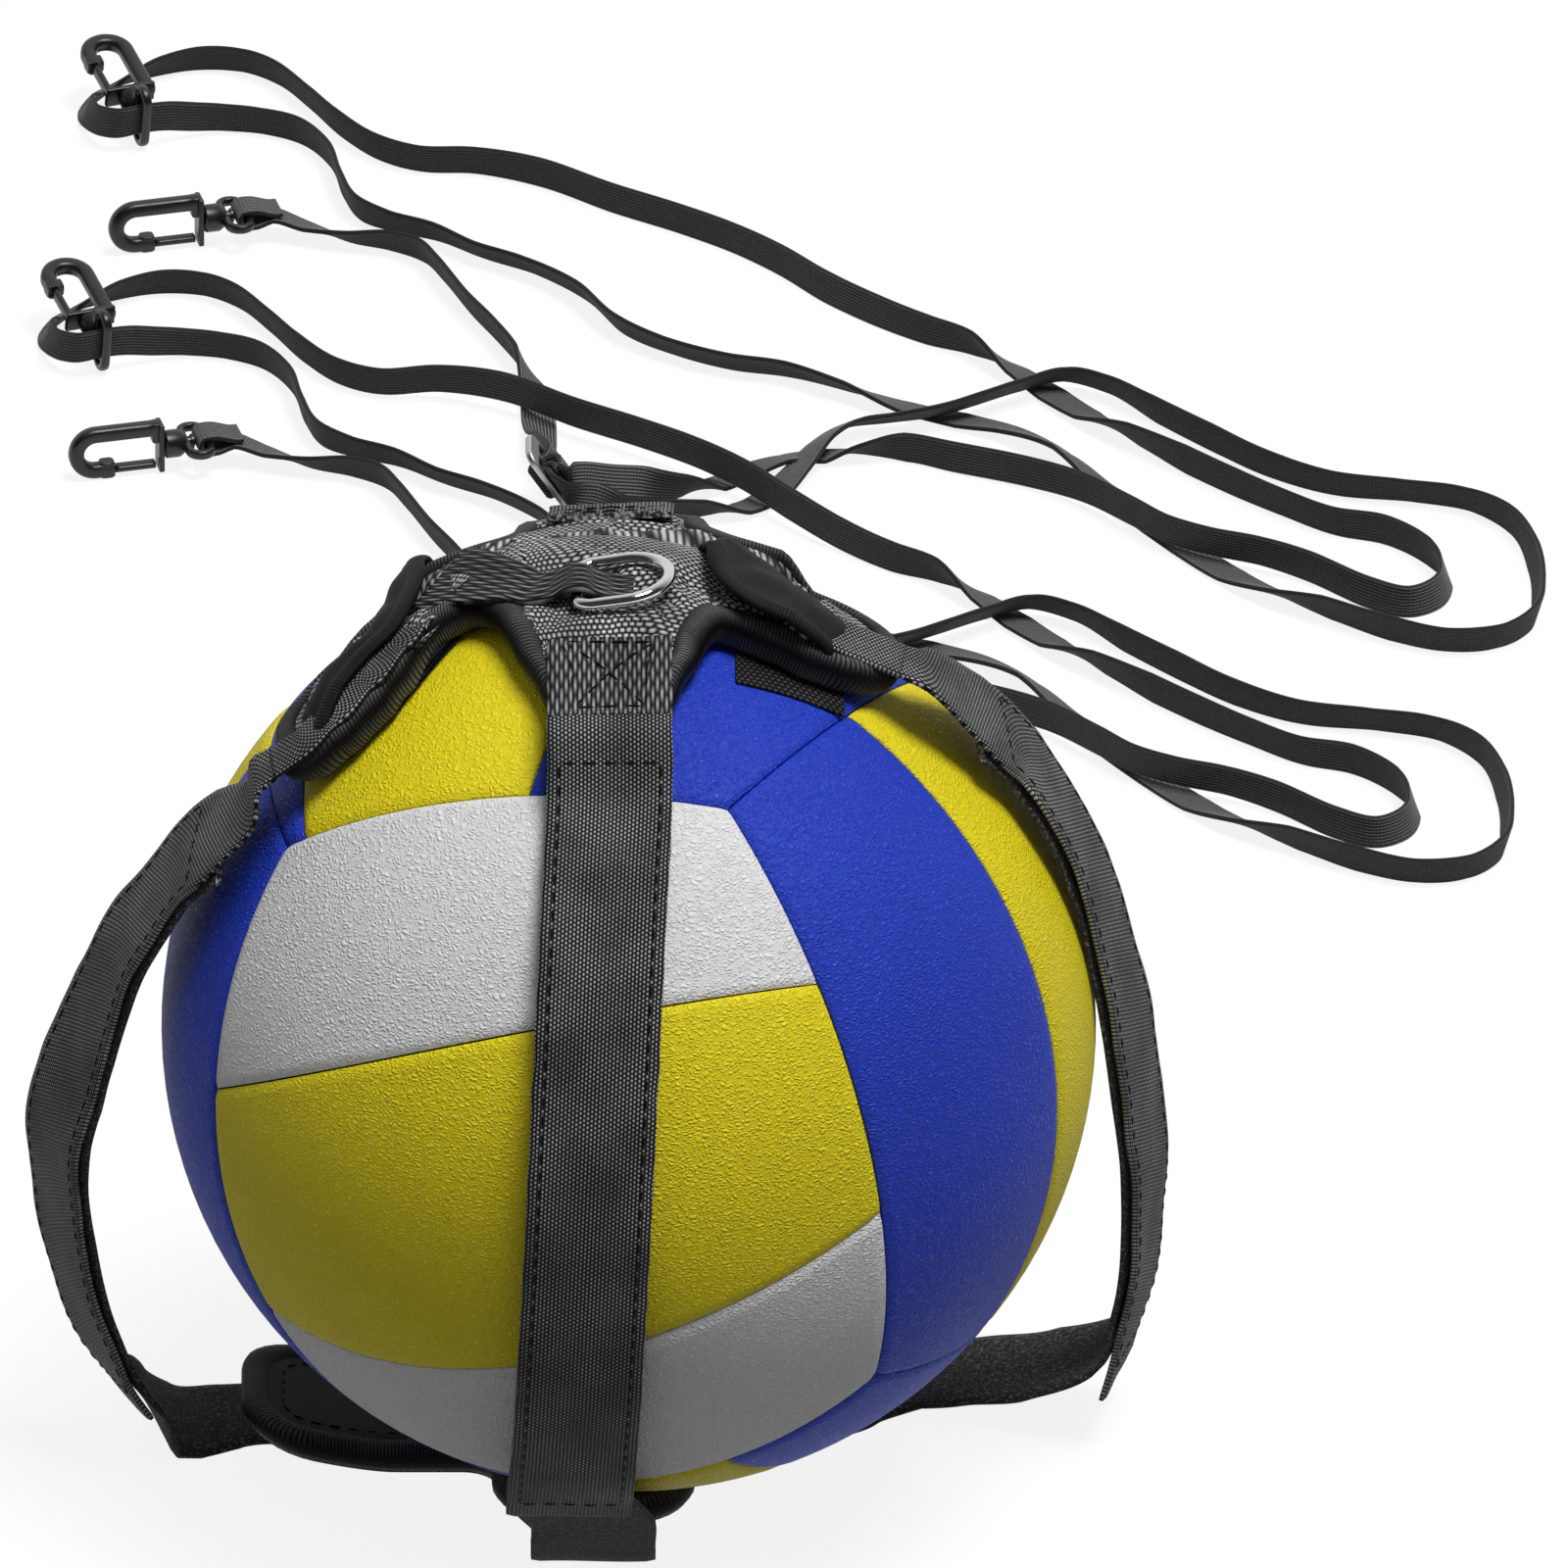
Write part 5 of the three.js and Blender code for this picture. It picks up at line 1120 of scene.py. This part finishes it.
def puffed(piece):
    """Cloth simulation: the foam's push swells the cut cloth between its held points. The cloth is cut a
    little too wide, so it puckers at the seams. No point moves farther than the cap."""
    around = len(piece.data.vertices) // (2 * pad_rings)
    middle_start = (2 * pad_rings - middle_rings) * around
    group = piece.vertex_groups.new(name="sewn_down")
    group.add(list(range(held_rings * around)), 1.0, "REPLACE")
    cloth = piece.modifiers.new("cloth", "CLOTH")
    cloth.settings.quality = 6
    cloth.settings.mass = 0.3
    cloth.settings.use_pressure = True
    cloth.settings.uniform_pressure_force = 4
    cloth.settings.shrink_min = -puff_slack
    cloth.settings.effector_weights.gravity = 0
    cloth.settings.vertex_group_mass = group.name
    cloth.point_cache.frame_end = puff_frames
    for frame in range(1, puff_frames + 1):
        bpy.context.scene.frame_set(frame)
    swollen = piece.evaluated_get(bpy.context.evaluated_depsgraph_get()).to_mesh()
    moves = [after.co - before.co for after, before in zip(swollen.vertices, piece.data.vertices)]
    piece.modifiers.remove(cloth)
    bpy.context.scene.frame_set(1)
    shared = sum(moves[middle_start - around:middle_start], Vector()) / around
    moves[middle_start:] = [shared] * (len(moves) - middle_start)
    for vertex, move in zip(piece.data.vertices, moves):
        vertex.co += move * min(1, puff_cap / max(move.length, puff_cap))


for name, low, high, crown, material, finish in (
        ("top_pad_lining", 0, lining_top, 0, lining_cloth, "lining_cloth"),
        ("top_pad_foam", lining_top + fit, cover_base - fit, -0.2 * mm, lining_cloth, "foam"),
        ("top_pad_cover", cover_base, pad_top, 0.9 * mm, basket_cloth, "nylon_cloth")):
    piece = pad_cloth(name + "_cloth", low, high, crown)
    if name == "top_pad_cover":
        puffed(piece)
    fitted(piece, name, material)

top_tape_rows = [(-5.4, 7.3), (-4.6, 8.6), (-2.6, 9.1), (-0.6, 8.6), (1.0, 7.2), (1.8, 5.2), (1.9, 3.2),
                 (1.2, 1.4), (-0.4, 0.4), (-3, 0.2), (-4.6, 1.6), (-4.8, 5)]
top_tape = binding("top_pad_binding_tape", top_arms, [(out * mm, high * mm) for out, high in top_tape_rows],
                   lambda p, height: over_ball(pulled(p), height))
fitted(top_tape, "top_pad_binding", ribbed_tape)

# Straps: 28 mm nylon webbing, cut hot, which leaves a thin light line at each end. Four are sewn onto the
# top pad with a box and a cross and hang down; their flaps press onto inner straps with hook-and-loop tape.
webbing_width = 28 * mm
webbing_thickness = 1.6 * mm
hook_loop_gap = 0.8 * mm
sewn_gap = 0.7 * mm
tape_thickness = 1.3 * mm
root_widths = {"front": webbing_width, "back": webbing_width, "left": 10 * mm, "right": 13 * mm}
root_starts = {"front": 36 * mm, "back": 30 * mm, "left": 45 * mm, "right": 38 * mm}
root_asides = {"front": 0, "back": 0, "left": -0.28, "right": -0.15}
turns_of = {"front": -90, "back": 90, "left": 180, "right": 0}
flap_height = ball_clearance + webbing_thickness + hook_loop_gap + webbing_thickness / 2
flap_end = 137
end_rise = 4 * mm
# Rows: polar angle, reach from the centre and drift, as shares of the ball's radius.
bulges = {
    "left": [(50.1, 1.045, 0.257), (56.1, 1.053, 0.219), (62.1, 1.07, 0.171), (70.6, 1.086, 0.133),
             (78.6, 1.117, 0.095), (92, 1.182, 0.057), (100.4, 1.25, 0.029), (106.4, 1.285, 0),
             (116.3, 1.341, -0.029), (125.8, 1.4, -0.048), (131.5, 1.42, -0.057)],
    "right": [(50.1, 1.073, 0), (55.7, 1.072, 0), (70.5, 1.056, 0.02), (81.9, 1.056, 0.04),
              (91.6, 1.078, 0.057), (102.2, 1.129, 0.086), (110.8, 1.194, 0.114), (119.8, 1.278, 0.148),
              (127.2, 1.353, 0.176), (132.1, 1.41, 0.19)]}
front_drift = {"front": -0.09, "back": 0.02}


def around_ball(turn, polar, height, aside=0.0):
    turn, polar, radius = math.radians(turn), math.radians(polar), ball_radius + height
    flat = radius * math.sin(polar)
    return ball_centre + Vector((flat * math.cos(turn) - aside * math.sin(turn),
                                 flat * math.sin(turn) + aside * math.cos(turn), radius * math.cos(polar)))


def flap_points(name):
    turn = turns_of[name]
    if name in bulges:
        return [around_ball(turn, polar, ball_radius * (reach - 1), drift * ball_radius)
                for polar, reach, drift in bulges[name]]
    to_front = 1 if name == "front" else -1
    start = math.degrees((top_arms[name] - to_front * top_shift.y + arm_corner) / ball_radius)
    made = []
    for i in range(11):
        share = i / 10
        rise = end_rise * max(0, share - 0.6) / 0.4
        aside = to_front * top_shift.x + front_drift[name] * ball_radius * share
        made.append(around_ball(turn, start + (flap_end - start) * share, flap_height + rise, aside))
    return made


def across_of(turn):
    return Vector((-math.sin(math.radians(turn)), math.cos(math.radians(turn)), 0))


def root_point(name, along, past=0.0):
    turn = math.radians(turns_of[name])
    cos, sin = math.cos(turn), math.sin(turn)
    aside = (root_asides[name] * arm_width + past) * (-1 if name == "left" else 1)
    plan = Vector((along * cos - aside * sin, along * sin + aside * cos))
    return over_ball(pulled(plan), pad_top + sewn_gap + webbing_thickness / 2)


def root_across(name, along):
    across = (root_point(name, along, fit) - root_point(name, along, -fit)).normalized()
    return -across if across.dot(across_of(turns_of[name])) < 0 else across


def catmull(points, per_span=12):
    """A smooth line through points, by spans that keep to their lengths (centripetal)."""
    ends = [2 * points[0] - points[1], *points, 2 * points[-1] - points[-2]]
    line = []
    for a, b, c, d in zip(ends, ends[1:], ends[2:], ends[3:]):
        knots = [0.0]
        for p, q in ((a, b), (b, c), (c, d)):
            knots.append(knots[-1] + max(1e-6, (q - p).length) ** 0.5)
        for i in range(per_span):
            t = knots[1] + (knots[2] - knots[1]) * i / per_span
            near = [(t - knots[k]) / (knots[k + 1] - knots[k]) for k in range(3)]
            wide = [(t - knots[k]) / (knots[k + 2] - knots[k]) for k in range(2)]
            first = [p.lerp(q, share) for p, q, share in zip((a, b, c), (b, c, d), near)]
            second = [p.lerp(q, share) for p, q, share in zip(first, first[1:], wide)]
            line.append(second[0].lerp(second[1], near[1]))
    return line + [points[-1]]


class Route:
    """A line measured by its length: at(share) gives the point and the direction there."""

    def __init__(self, points):
        self.points = points
        self.runs = [0.0]
        for a, b in zip(points, points[1:]):
            self.runs.append(self.runs[-1] + (b - a).length)

    def at(self, share):
        run = max(0, min(1, share)) * self.runs[-1]
        i = next((i for i in range(1, len(self.runs)) if self.runs[i] >= run), len(self.runs) - 1)
        a, b = self.points[i - 1], self.points[i]
        return a.lerp(b, (run - self.runs[i - 1]) / (self.runs[i] - self.runs[i - 1])), (b - a).normalized()


# The side flaps turn their faces to the front on the way down, by these degrees.
flap_turns = {"front": 0, "back": 0, "left": 24, "right": -15}
turn_start = 0.1
turn_end = 0.6


def flap_across(name, share):
    way = max(0, min(1, (share - turn_start) / (turn_end - turn_start)))
    turn = flap_turns[name] * way * way * (3 - 2 * way)
    below = across_of(turns_of[name] + turn)
    return root_across(name, top_arms[name]).lerp(below, min(1, 3 * share)).normalized()


# Heat-cut edge: nylon melted to a thin brittle bead, light grey where it is thick.
heat_cut, tree, shader = principled("heat_cut_nylon_edge", Roughness=0.5)
melt = grain(tree, 900.0, 3.0)
shaded(tree, shader, mapped(tree, melt, 0.42, 0.62), "#1d1d1e", "#a9a9ab")
embossed(tree, shader, melt, 0.5, 0.3 * mm)

# Loop side of the hook-and-loop tape: a brushed pile of fine dull loops, with painted grey highlights in the
# colour where they would catch light.
loop_pile, tree, shader = principled(
    "brushed_loop_pile", Roughness=0.95, Sheen_Weight=0.1, Sheen_Roughness=0.6)
tuft = grain(tree, 1300.0, 4.0)
shaded(tree, shader, mapped(tree, tuft, 0.5, 0.72), "#0c0c0d", "#8a8a8c")
embossed(tree, shader, tuft, 0.7, 0.5 * mm)


def soft_ripple(run, aside, depth, seed):
    """How far the webbing's middle lies above its straight line, at a place along and across it."""
    return depth * noise.noise(Vector((run / (19 * mm), aside / (13 * mm), seed)))


def close_ends(piece, rows, across, material_index=0):
    """Closes both ends of a flat piece. Its rows run across its top and back along its underside."""
    mesh = bmesh.new()
    mesh.from_mesh(piece.data)
    mesh.verts.ensure_lookup_table()
    for base in (0, (rows - 1) * 2 * across):
        for k in range(across - 1):
            corners = [mesh.verts[base + i] for i in (k, k + 1, 2 * across - 2 - k, 2 * across - 1 - k)]
            mesh.faces.new(corners).material_index = material_index
    bmesh.ops.recalc_face_normals(mesh, faces=mesh.faces)
    mesh.to_mesh(piece.data)
    mesh.free()


columns = 14


def strap(name, stations, ripple, seed, cloth=webbing):
    """Webbing along stations (point, across, width): rounded edges, a soft ripple, light cut ends."""
    half = webbing_thickness / 2
    rows, uvs, run = [], [], 0.0
    for i, (place, across, width) in enumerate(stations):
        after, before = stations[min(i + 1, len(stations) - 1)][0], stations[max(i - 1, 0)][0]
        along = (after - before).normalized()
        side = (across - along * across.dot(along)).normalized()
        face = side.cross(along)
        run += (place - stations[i - 1][0]).length if i else 0
        row = []
        for level in (1, -1):
            for k in range(columns + 1):
                share = k / columns if level > 0 else 1 - k / columns
                a = (share - 0.5) * width
                high, frayed = level * half, 0
                if k in (0, columns):
                    high = level * half * 0.55
                    frayed = ripple * 0.5 * noise.noise(Vector((run / (7 * mm), level, seed + 5)))
                high += soft_ripple(run, a, ripple, seed)
                row.append(place + side * (a + frayed) + face * high)
                uvs.append((run / mm, a / mm))
        rows.append(row)
    made = ribbed(rows, uvs, name)
    close_ends(made, len(rows), columns + 1, 1)
    made.data.materials.append(cloth)
    made.data.materials.append(heat_cut)
    return made


def outward_of(place):
    return (place - ball_centre).normalized()


flap_routes = {}
flap_ripple = 0.7 * mm
flap_seed = 7.1
seam_end = 0.965
for name in turns_of:
    reach = top_arms[name] + 1.8 * fit
    rows = []
    for i in range(36):
        along = root_starts[name] + (reach - root_starts[name]) * i / 35
        rows.append((root_point(name, along), root_across(name, along), root_widths[name]))
    root = strap(name + "_strap_root_webbing", rows, 0.5 * mm, 3.3,
                 pulled_webbing if name == "front" else webbing)
    fitted(root, name + "_strap_root")
    leads = [root_point(name, top_arms[name] + past)
             for past in (4 * fit, 2 * tape_thickness, tape_thickness + crotch_radius / 2)]
    route = flap_routes[name] = Route(catmull([*leads, *flap_points(name)]))
    rows = []
    for i in range(141):
        share = i / 140
        width = root_widths[name] + (webbing_width - root_widths[name]) * min(1, share / 0.14)
        rows.append((route.at(share)[0], flap_across(name, share), width))
    rows.insert(0, (root_point(name, top_arms[name] + 2 * fit), flap_across(name, 0), root_widths[name]))
    flap = strap(name + "_strap_flap_webbing", rows, flap_ripple, flap_seed)
    fitted(flap, name + "_strap_flap", body=name + "_strap_flap")

    # Stitching: a box with a cross through the root, and a long box down the flap that holds its hook tape.
    if name in ("front", "back"):
        low, high = root_starts[name] + 1.8 * mm, top_arms[name] - 1.5 * mm
        side = webbing_width / 2 - 2.4 * mm
        corners = [(low, -side), (low, side), (high, side), (high, -side)]
        pairs = ((0, 1), (1, 2), (2, 3), (3, 0), (0, 2), (1, 3))
        for k, (a, b) in enumerate((corners[i], corners[j]) for i, j in pairs):
            steps = [(a[0] + (b[0] - a[0]) * t / 12, a[1] + (b[1] - a[1]) * t / 12) for t in range(13)]
            line = [root_point(name, *step) for step in steps]
            line = [p + outward_of(p) * (webbing_thickness / 2 + 0.2 * mm) for p in line]
            stitches(f"{name}_root_stitches_{k + 1}", line, outward_of, "trainer")

    def flap_face(share, aside, name=name, route=route):
        place, along = route.at(share)
        across = flap_across(name, share)
        across = (across - along * across.dot(along)).normalized()
        face = across.cross(along)
        ripple = soft_ripple(share * route.runs[-1] + 2 * fit, aside, flap_ripple, flap_seed)
        outer = face if face.dot(outward_of(place)) > 0 else -face
        return place + across * aside + face * ripple + outer * webbing_thickness / 2, outer

    side = webbing_width / 2 - 2.6 * mm
    start = 0.05 if name in ("front", "back") else 0.16
    shares = [start + (seam_end - start) * t / 80 for t in range(81)]
    runs = [[flap_face(share, sign * side) for share in shares] for sign in (-1, 1)]
    runs += [[flap_face(end, side * (2 * t / 6 - 1)) for t in range(7)] for end in (start, seam_end)]
    for k, run in enumerate(runs):
        faces_out = [face for _, face in run]
        line = [place for place, _ in run]

        def facing(place, line=line, faces_out=faces_out):
            return faces_out[min(range(len(line)), key=lambda i: (line[i] - place).length)]

        stitches(f"{name}_flap_stitches_{k + 1}", line, facing, name + "_strap_flap", thick=0.25 * mm)

# Inner straps: they rise from under the base pad, just inside the outer straps, to which they stick.
floor_line = webbing_thickness / 2
crossing = webbing_width / 2 + 3 * fit


def inner_stations(name, start, end, count):
    made = []
    for i in range(count):
        share = start + (end - start) * i / (count - 1)
        place, along = flap_routes[name].at(share)
        across = flap_across(name, share)
        inward = along.cross(across).normalized()
        inward = -inward if inward.dot(place - ball_centre) > 0 else inward
        made.append((place + inward * (webbing_thickness + hook_loop_gap), across))
    return made


def smoothed(stations, steps=10):
    """Fills each span of the stations in: the points on a smooth line, the directions between them."""
    line = catmull([place for place, _ in stations], steps)
    ways = []
    for (_, a), (_, b) in zip(stations, stations[1:]):
        ways += [a.lerp(b, i / steps).normalized() for i in range(steps)]
    return [(place, way, webbing_width) for place, way in zip(line, [*ways, stations[-1][1]])]


# Rows of each tail, as shares of the webbing's width: how far past the base pad's edge, the rise off the
# floor, and the drift to the back.
tails = {
    "left": [(0.714, 0.25, -0.1), (0.43, 0.05, 0.12), (0.143, 0, 0.26), (-0.286, 0, 0.3), (-0.8, 0, 0.14),
             (-1.3, 0, 0)],
    "right": [(1.96, 0.39, 0.4), (1.5, 0.22, 0.62), (1, 0.06, 0.8), (0.43, 0, 0.6), (0.107, 0, 0.36),
              (-0.286, 0, 0.08), (-0.64, 0, 0)]}
tail_starts = {"left": 1, "right": 0.965}
inner_runs = {}
for name, out in (("left", -1), ("right", 1)):
    rows = [[share * webbing_width for share in row] for row in tails[name]]
    rows.append([crossing - base_arms[name], 0, 0])
    tail = [(Vector((pad_centre.x + out * (base_arms[name] + step), pad_centre.y + drift, floor_line + rise)),
             across_of(turns_of[name])) for step, rise, drift in rows]
    inner_runs[name] = inner_stations(name, 0.12, tail_starts[name], 14) + tail

# The long inner strap runs from the front, under the pad, to the back. Rows of each end: how far past the
# base pad's edge, and the rise.
front_end = [(1.25, 0.72), (0.964, 0.39), (0.714, 0.14), (0.5, 0.018), (0.32, 0), (-0.43, 0)]
back_end = [(0.4, 0.7), (0.3, 0.4), (0.186, 0.15), (0.093, 0.018), (0.043, 0), (-0.17, 0)]
under = [(-(base_arms["front"] + past * webbing_width), rise) for past, rise in front_end]
under.append((0, 0))
under += [(base_arms["back"] + past * webbing_width, rise) for past, rise in reversed(back_end)]
under = [(Vector((pad_centre.x, pad_centre.y + y, floor_line + rise * webbing_width)), across_of(-90))
         for y, rise in under]
back_part = [(place, -across) for place, across in reversed(inner_stations("back", 0.12, 0.985, 13))]
inner_runs["front_back"] = inner_stations("front", 0.12, 0.985, 13) + under + back_part
for name, stations in inner_runs.items():
    inner = strap(name + "_inner_strap_webbing", smoothed(stations), 0.3 * mm, 2.2, loop_pile)
    fitted(inner, name + "_inner_strap")

# Ring tunnel: a ribbed strip sewn over the top pad, raised over the D-ring's bar.
ring_wire = 3 * mm
ring_bar = Vector((-7 * mm, -17 * mm))
tunnel_width = 12.5 * mm
tunnel_thickness = 1.3 * mm
tunnel_length = 58 * mm
strip_height = pad_top + sewn_gap + tunnel_thickness / 2
bar_height = pad_top + sewn_gap + ring_wire / 2
hump = bar_height + ring_wire / 2 + fit + tunnel_thickness / 2
# Rows, from the left end, which lies towards the back, to the short right end: way along the strip and
# drift to the back as shares of its length, and the share of the rise over the bar.
tunnel_rows = [(-0.53, 0.34, 0), (-0.43, 0.26, 0), (-0.34, 0.185, 0), (-0.25, 0.11, 0), (-0.165, 0.045, 0),
               (-0.08, 0.01, 0.45), (-0.027, 0, 1), (0.027, 0, 1), (0.08, 0, 0.45), (0.155, 0, 0),
               (0.21, 0, 0)]
strip_line = []
for way, drift, rise in tunnel_rows:
    height = strip_height + (hump - strip_height) * rise
    strip_line.append((over_ball(ring_bar + tunnel_length * Vector((way, drift)), height), Vector((0, 1, 0))))
# The strip is broad where it starts, and narrows over 40 of its 100 steps to the D-ring's bar.
tunnel_stations = [(place, way, tunnel_width * (1 + 0.9 * max(0, 1 - i / 40)))
                   for i, (place, way, _) in enumerate(smoothed(strip_line))]
tunnel = strap("ring_tunnel_webbing", tunnel_stations, 0.3 * mm, 6.0, ring_webbing)
fitted(tunnel, "ring_tunnel")

# D-ring: bent from 3 mm steel wire, welded and bright chromed, so it mirrors the room in black and white.
bright_chrome, tree, shader = principled("bright_chromed_steel", Metallic=1.0)
haze = grain(tree, 350.0, 4.0)
shaded(tree, shader, haze, "#d6d8da", "#eceded")
roughened(tree, shader, haze, 0.04, 0.13)
embossed(tree, shader, haze, 0.08, 0.1 * mm)
ring_half = (17 * mm + ring_wire) / 2
ring_depth = 18 * mm + ring_wire
bow_start = ring_depth - ring_half
ring_centre = over_ball(ring_bar, bar_height)
ring_turn = Matrix.Rotation(math.radians(-9), 3, "Y")
ring_line = [(0, 0), (0, ring_half - 1.5 * ring_wire)]
for i in range(1, 8):
    angle = math.radians(180 - 90 * i / 8)
    ring_line.append((ring_wire * 1.5 + ring_wire * 1.5 * math.cos(angle),
                      ring_half - 1.5 * ring_wire + ring_wire * 1.5 * math.sin(angle)))
for i in range(33):
    angle = math.radians(90 - 180 * i / 32)
    ring_line.append((bow_start + ring_half * math.cos(angle), ring_half * math.sin(angle)))
ring_line += [(x, -y) for x, y in reversed(ring_line[1:9])]
ring_up = ring_turn @ Vector((0, 0, 1))
stations = [(ring_centre + ring_turn @ Vector((x, y, 0)), ring_up) for x, y in ring_line]
wire_turns = [k * math.pi / 10 for k in range(20)]
circle = [(ring_wire / 2 * math.cos(turn), ring_wire / 2 * math.sin(turn)) for turn in wire_turns]
ring = sweep("d_ring_wire", stations, circle, loop=True)
fitted(ring, "d_ring", bright_chrome, "d_ring")

# Turned-up edges: the back halves of both side arms are folded up and lie forward on the pad, so their
# brushed lining shows, with the ribbed tape along the free edge.
# Rows along each fold in the pad's plan: the free edge, then the fold's back, in millimetres.
fold_rows = {
    "right": [((21, 4), (24, 17)), ((22.3, -3.2), (29, 16)), ((22.6, -10), (35, 12)),
              ((24.5, -17.5), (41, 6)), ((30, -23.5), (47, -1)), ((39.3, -26.5), (53, -7)),
              ((49, -27), (58, -12))],
    "left": [((-42.3, 22), (-44, 25)), ((-42.8, 14), (-48, 19)), ((-42.5, 3.4), (-52, 9)),
             ((-44, -6.6), (-55, -1)), ((-48, -17), (-58, -9)), ((-55, -23), (-64, -14)),
             ((-62, -30), (-70, -19)), ((-68, -38), (-76, -24))]}
fold_rise = {"right": 6 * mm, "left": 4.5 * mm}
fold_bowl = {"right": 2 * mm, "left": 0.6 * mm}
fold_thickness = 1.8 * mm
fold_columns = 15
fold_fade = 9


def two_lines(rows, per_span):
    """Smooth lines through the first and through the second points of the rows, which are in mm."""
    return [catmull([Vector((*row[i], 0)) * mm for row in rows], per_span) for i in (0, 1)]


for name, rows in fold_rows.items():
    free, back = two_lines(rows, 8)
    grid, uvs = [], []
    for i, (a, b) in enumerate(zip(free, back)):
        end = min(1, min(i, len(free) - 1 - i) / fold_fade)
        rise = fold_rise[name] * math.sqrt(end)
        shares = [k / (fold_columns - 1) for k in range(fold_columns)]
        row = []
        for share in shares:
            height = pad_top + 0.8 * mm + rise * math.sin(math.pi * min(1, 0.25 + 0.75 * share) ** 1.2)
            height += fold_bowl[name] * end * (math.exp(-(share / 0.14) ** 2) - math.sin(math.pi * share))
            height -= share ** 3 * 5 * mm
            spot = a.lerp(b, share ** 0.9)
            height += fabric_ripple(spot, 8 * mm, 1.2 * mm, 12) * math.sin(math.pi * share) * end
            row.append(over_ball(spot, height))
        row += [place - outward_of(place) * fold_thickness for place in reversed(row)]
        uvs += [(i * 2.0, share * 20) for share in (*shares, *reversed(shares))]
        grid.append(row)
    fold = ribbed(grid, uvs, name + "_turned_up_lining")
    close_ends(fold, len(grid), fold_columns)
    fitted(fold, None, lining_cloth)
    rim_line = [(row[0] + outward_of(row[0]) * 0.1 * mm, outward_of(row[0])) for row in grid]
    oval = [(1.3 * mm * math.sin(k * math.pi / 8), 2.3 * mm * math.cos(k * math.pi / 8)) for k in range(16)]
    rim = sweep(name + "_turned_up_tape", rim_line, oval)
    fitted(rim, None, ribbed_tape)

# Loop patch: the cut end of a woven tape that is sewn under the right arm and hangs out below its edge.
patch_rows = [((29.5, -24), (29.8, -36)), ((38, -22), (38.5, -36)), ((47, -22), (48, -36)),
              ((56, -23), (57.2, -36.5))]
patch_top, patch_low = two_lines(patch_rows, 6)
grid, uvs, run = [], [], 0.0
for i, (a, b) in enumerate(zip(patch_top, patch_low)):
    run += (a - patch_top[i - 1]).length if i else 0
    row = [over_ball(a.lerp(b, k / 8), -0.3 * mm) for k in range(9)]
    row += [p - outward_of(p) * 0.6 * mm for p in reversed(row)]
    uvs += [(run / mm, k * 1.6) for k in (*range(9), *reversed(range(9)))]
    grid.append(row)
patch = ribbed(grid, uvs, "right_arm_loop_patch")
patch_cloth = woven("square_woven_tape", "#060607", "#58585a", 1.5, 1.2, 0.2 * mm, coarse=True)
fitted(patch, None, patch_cloth)
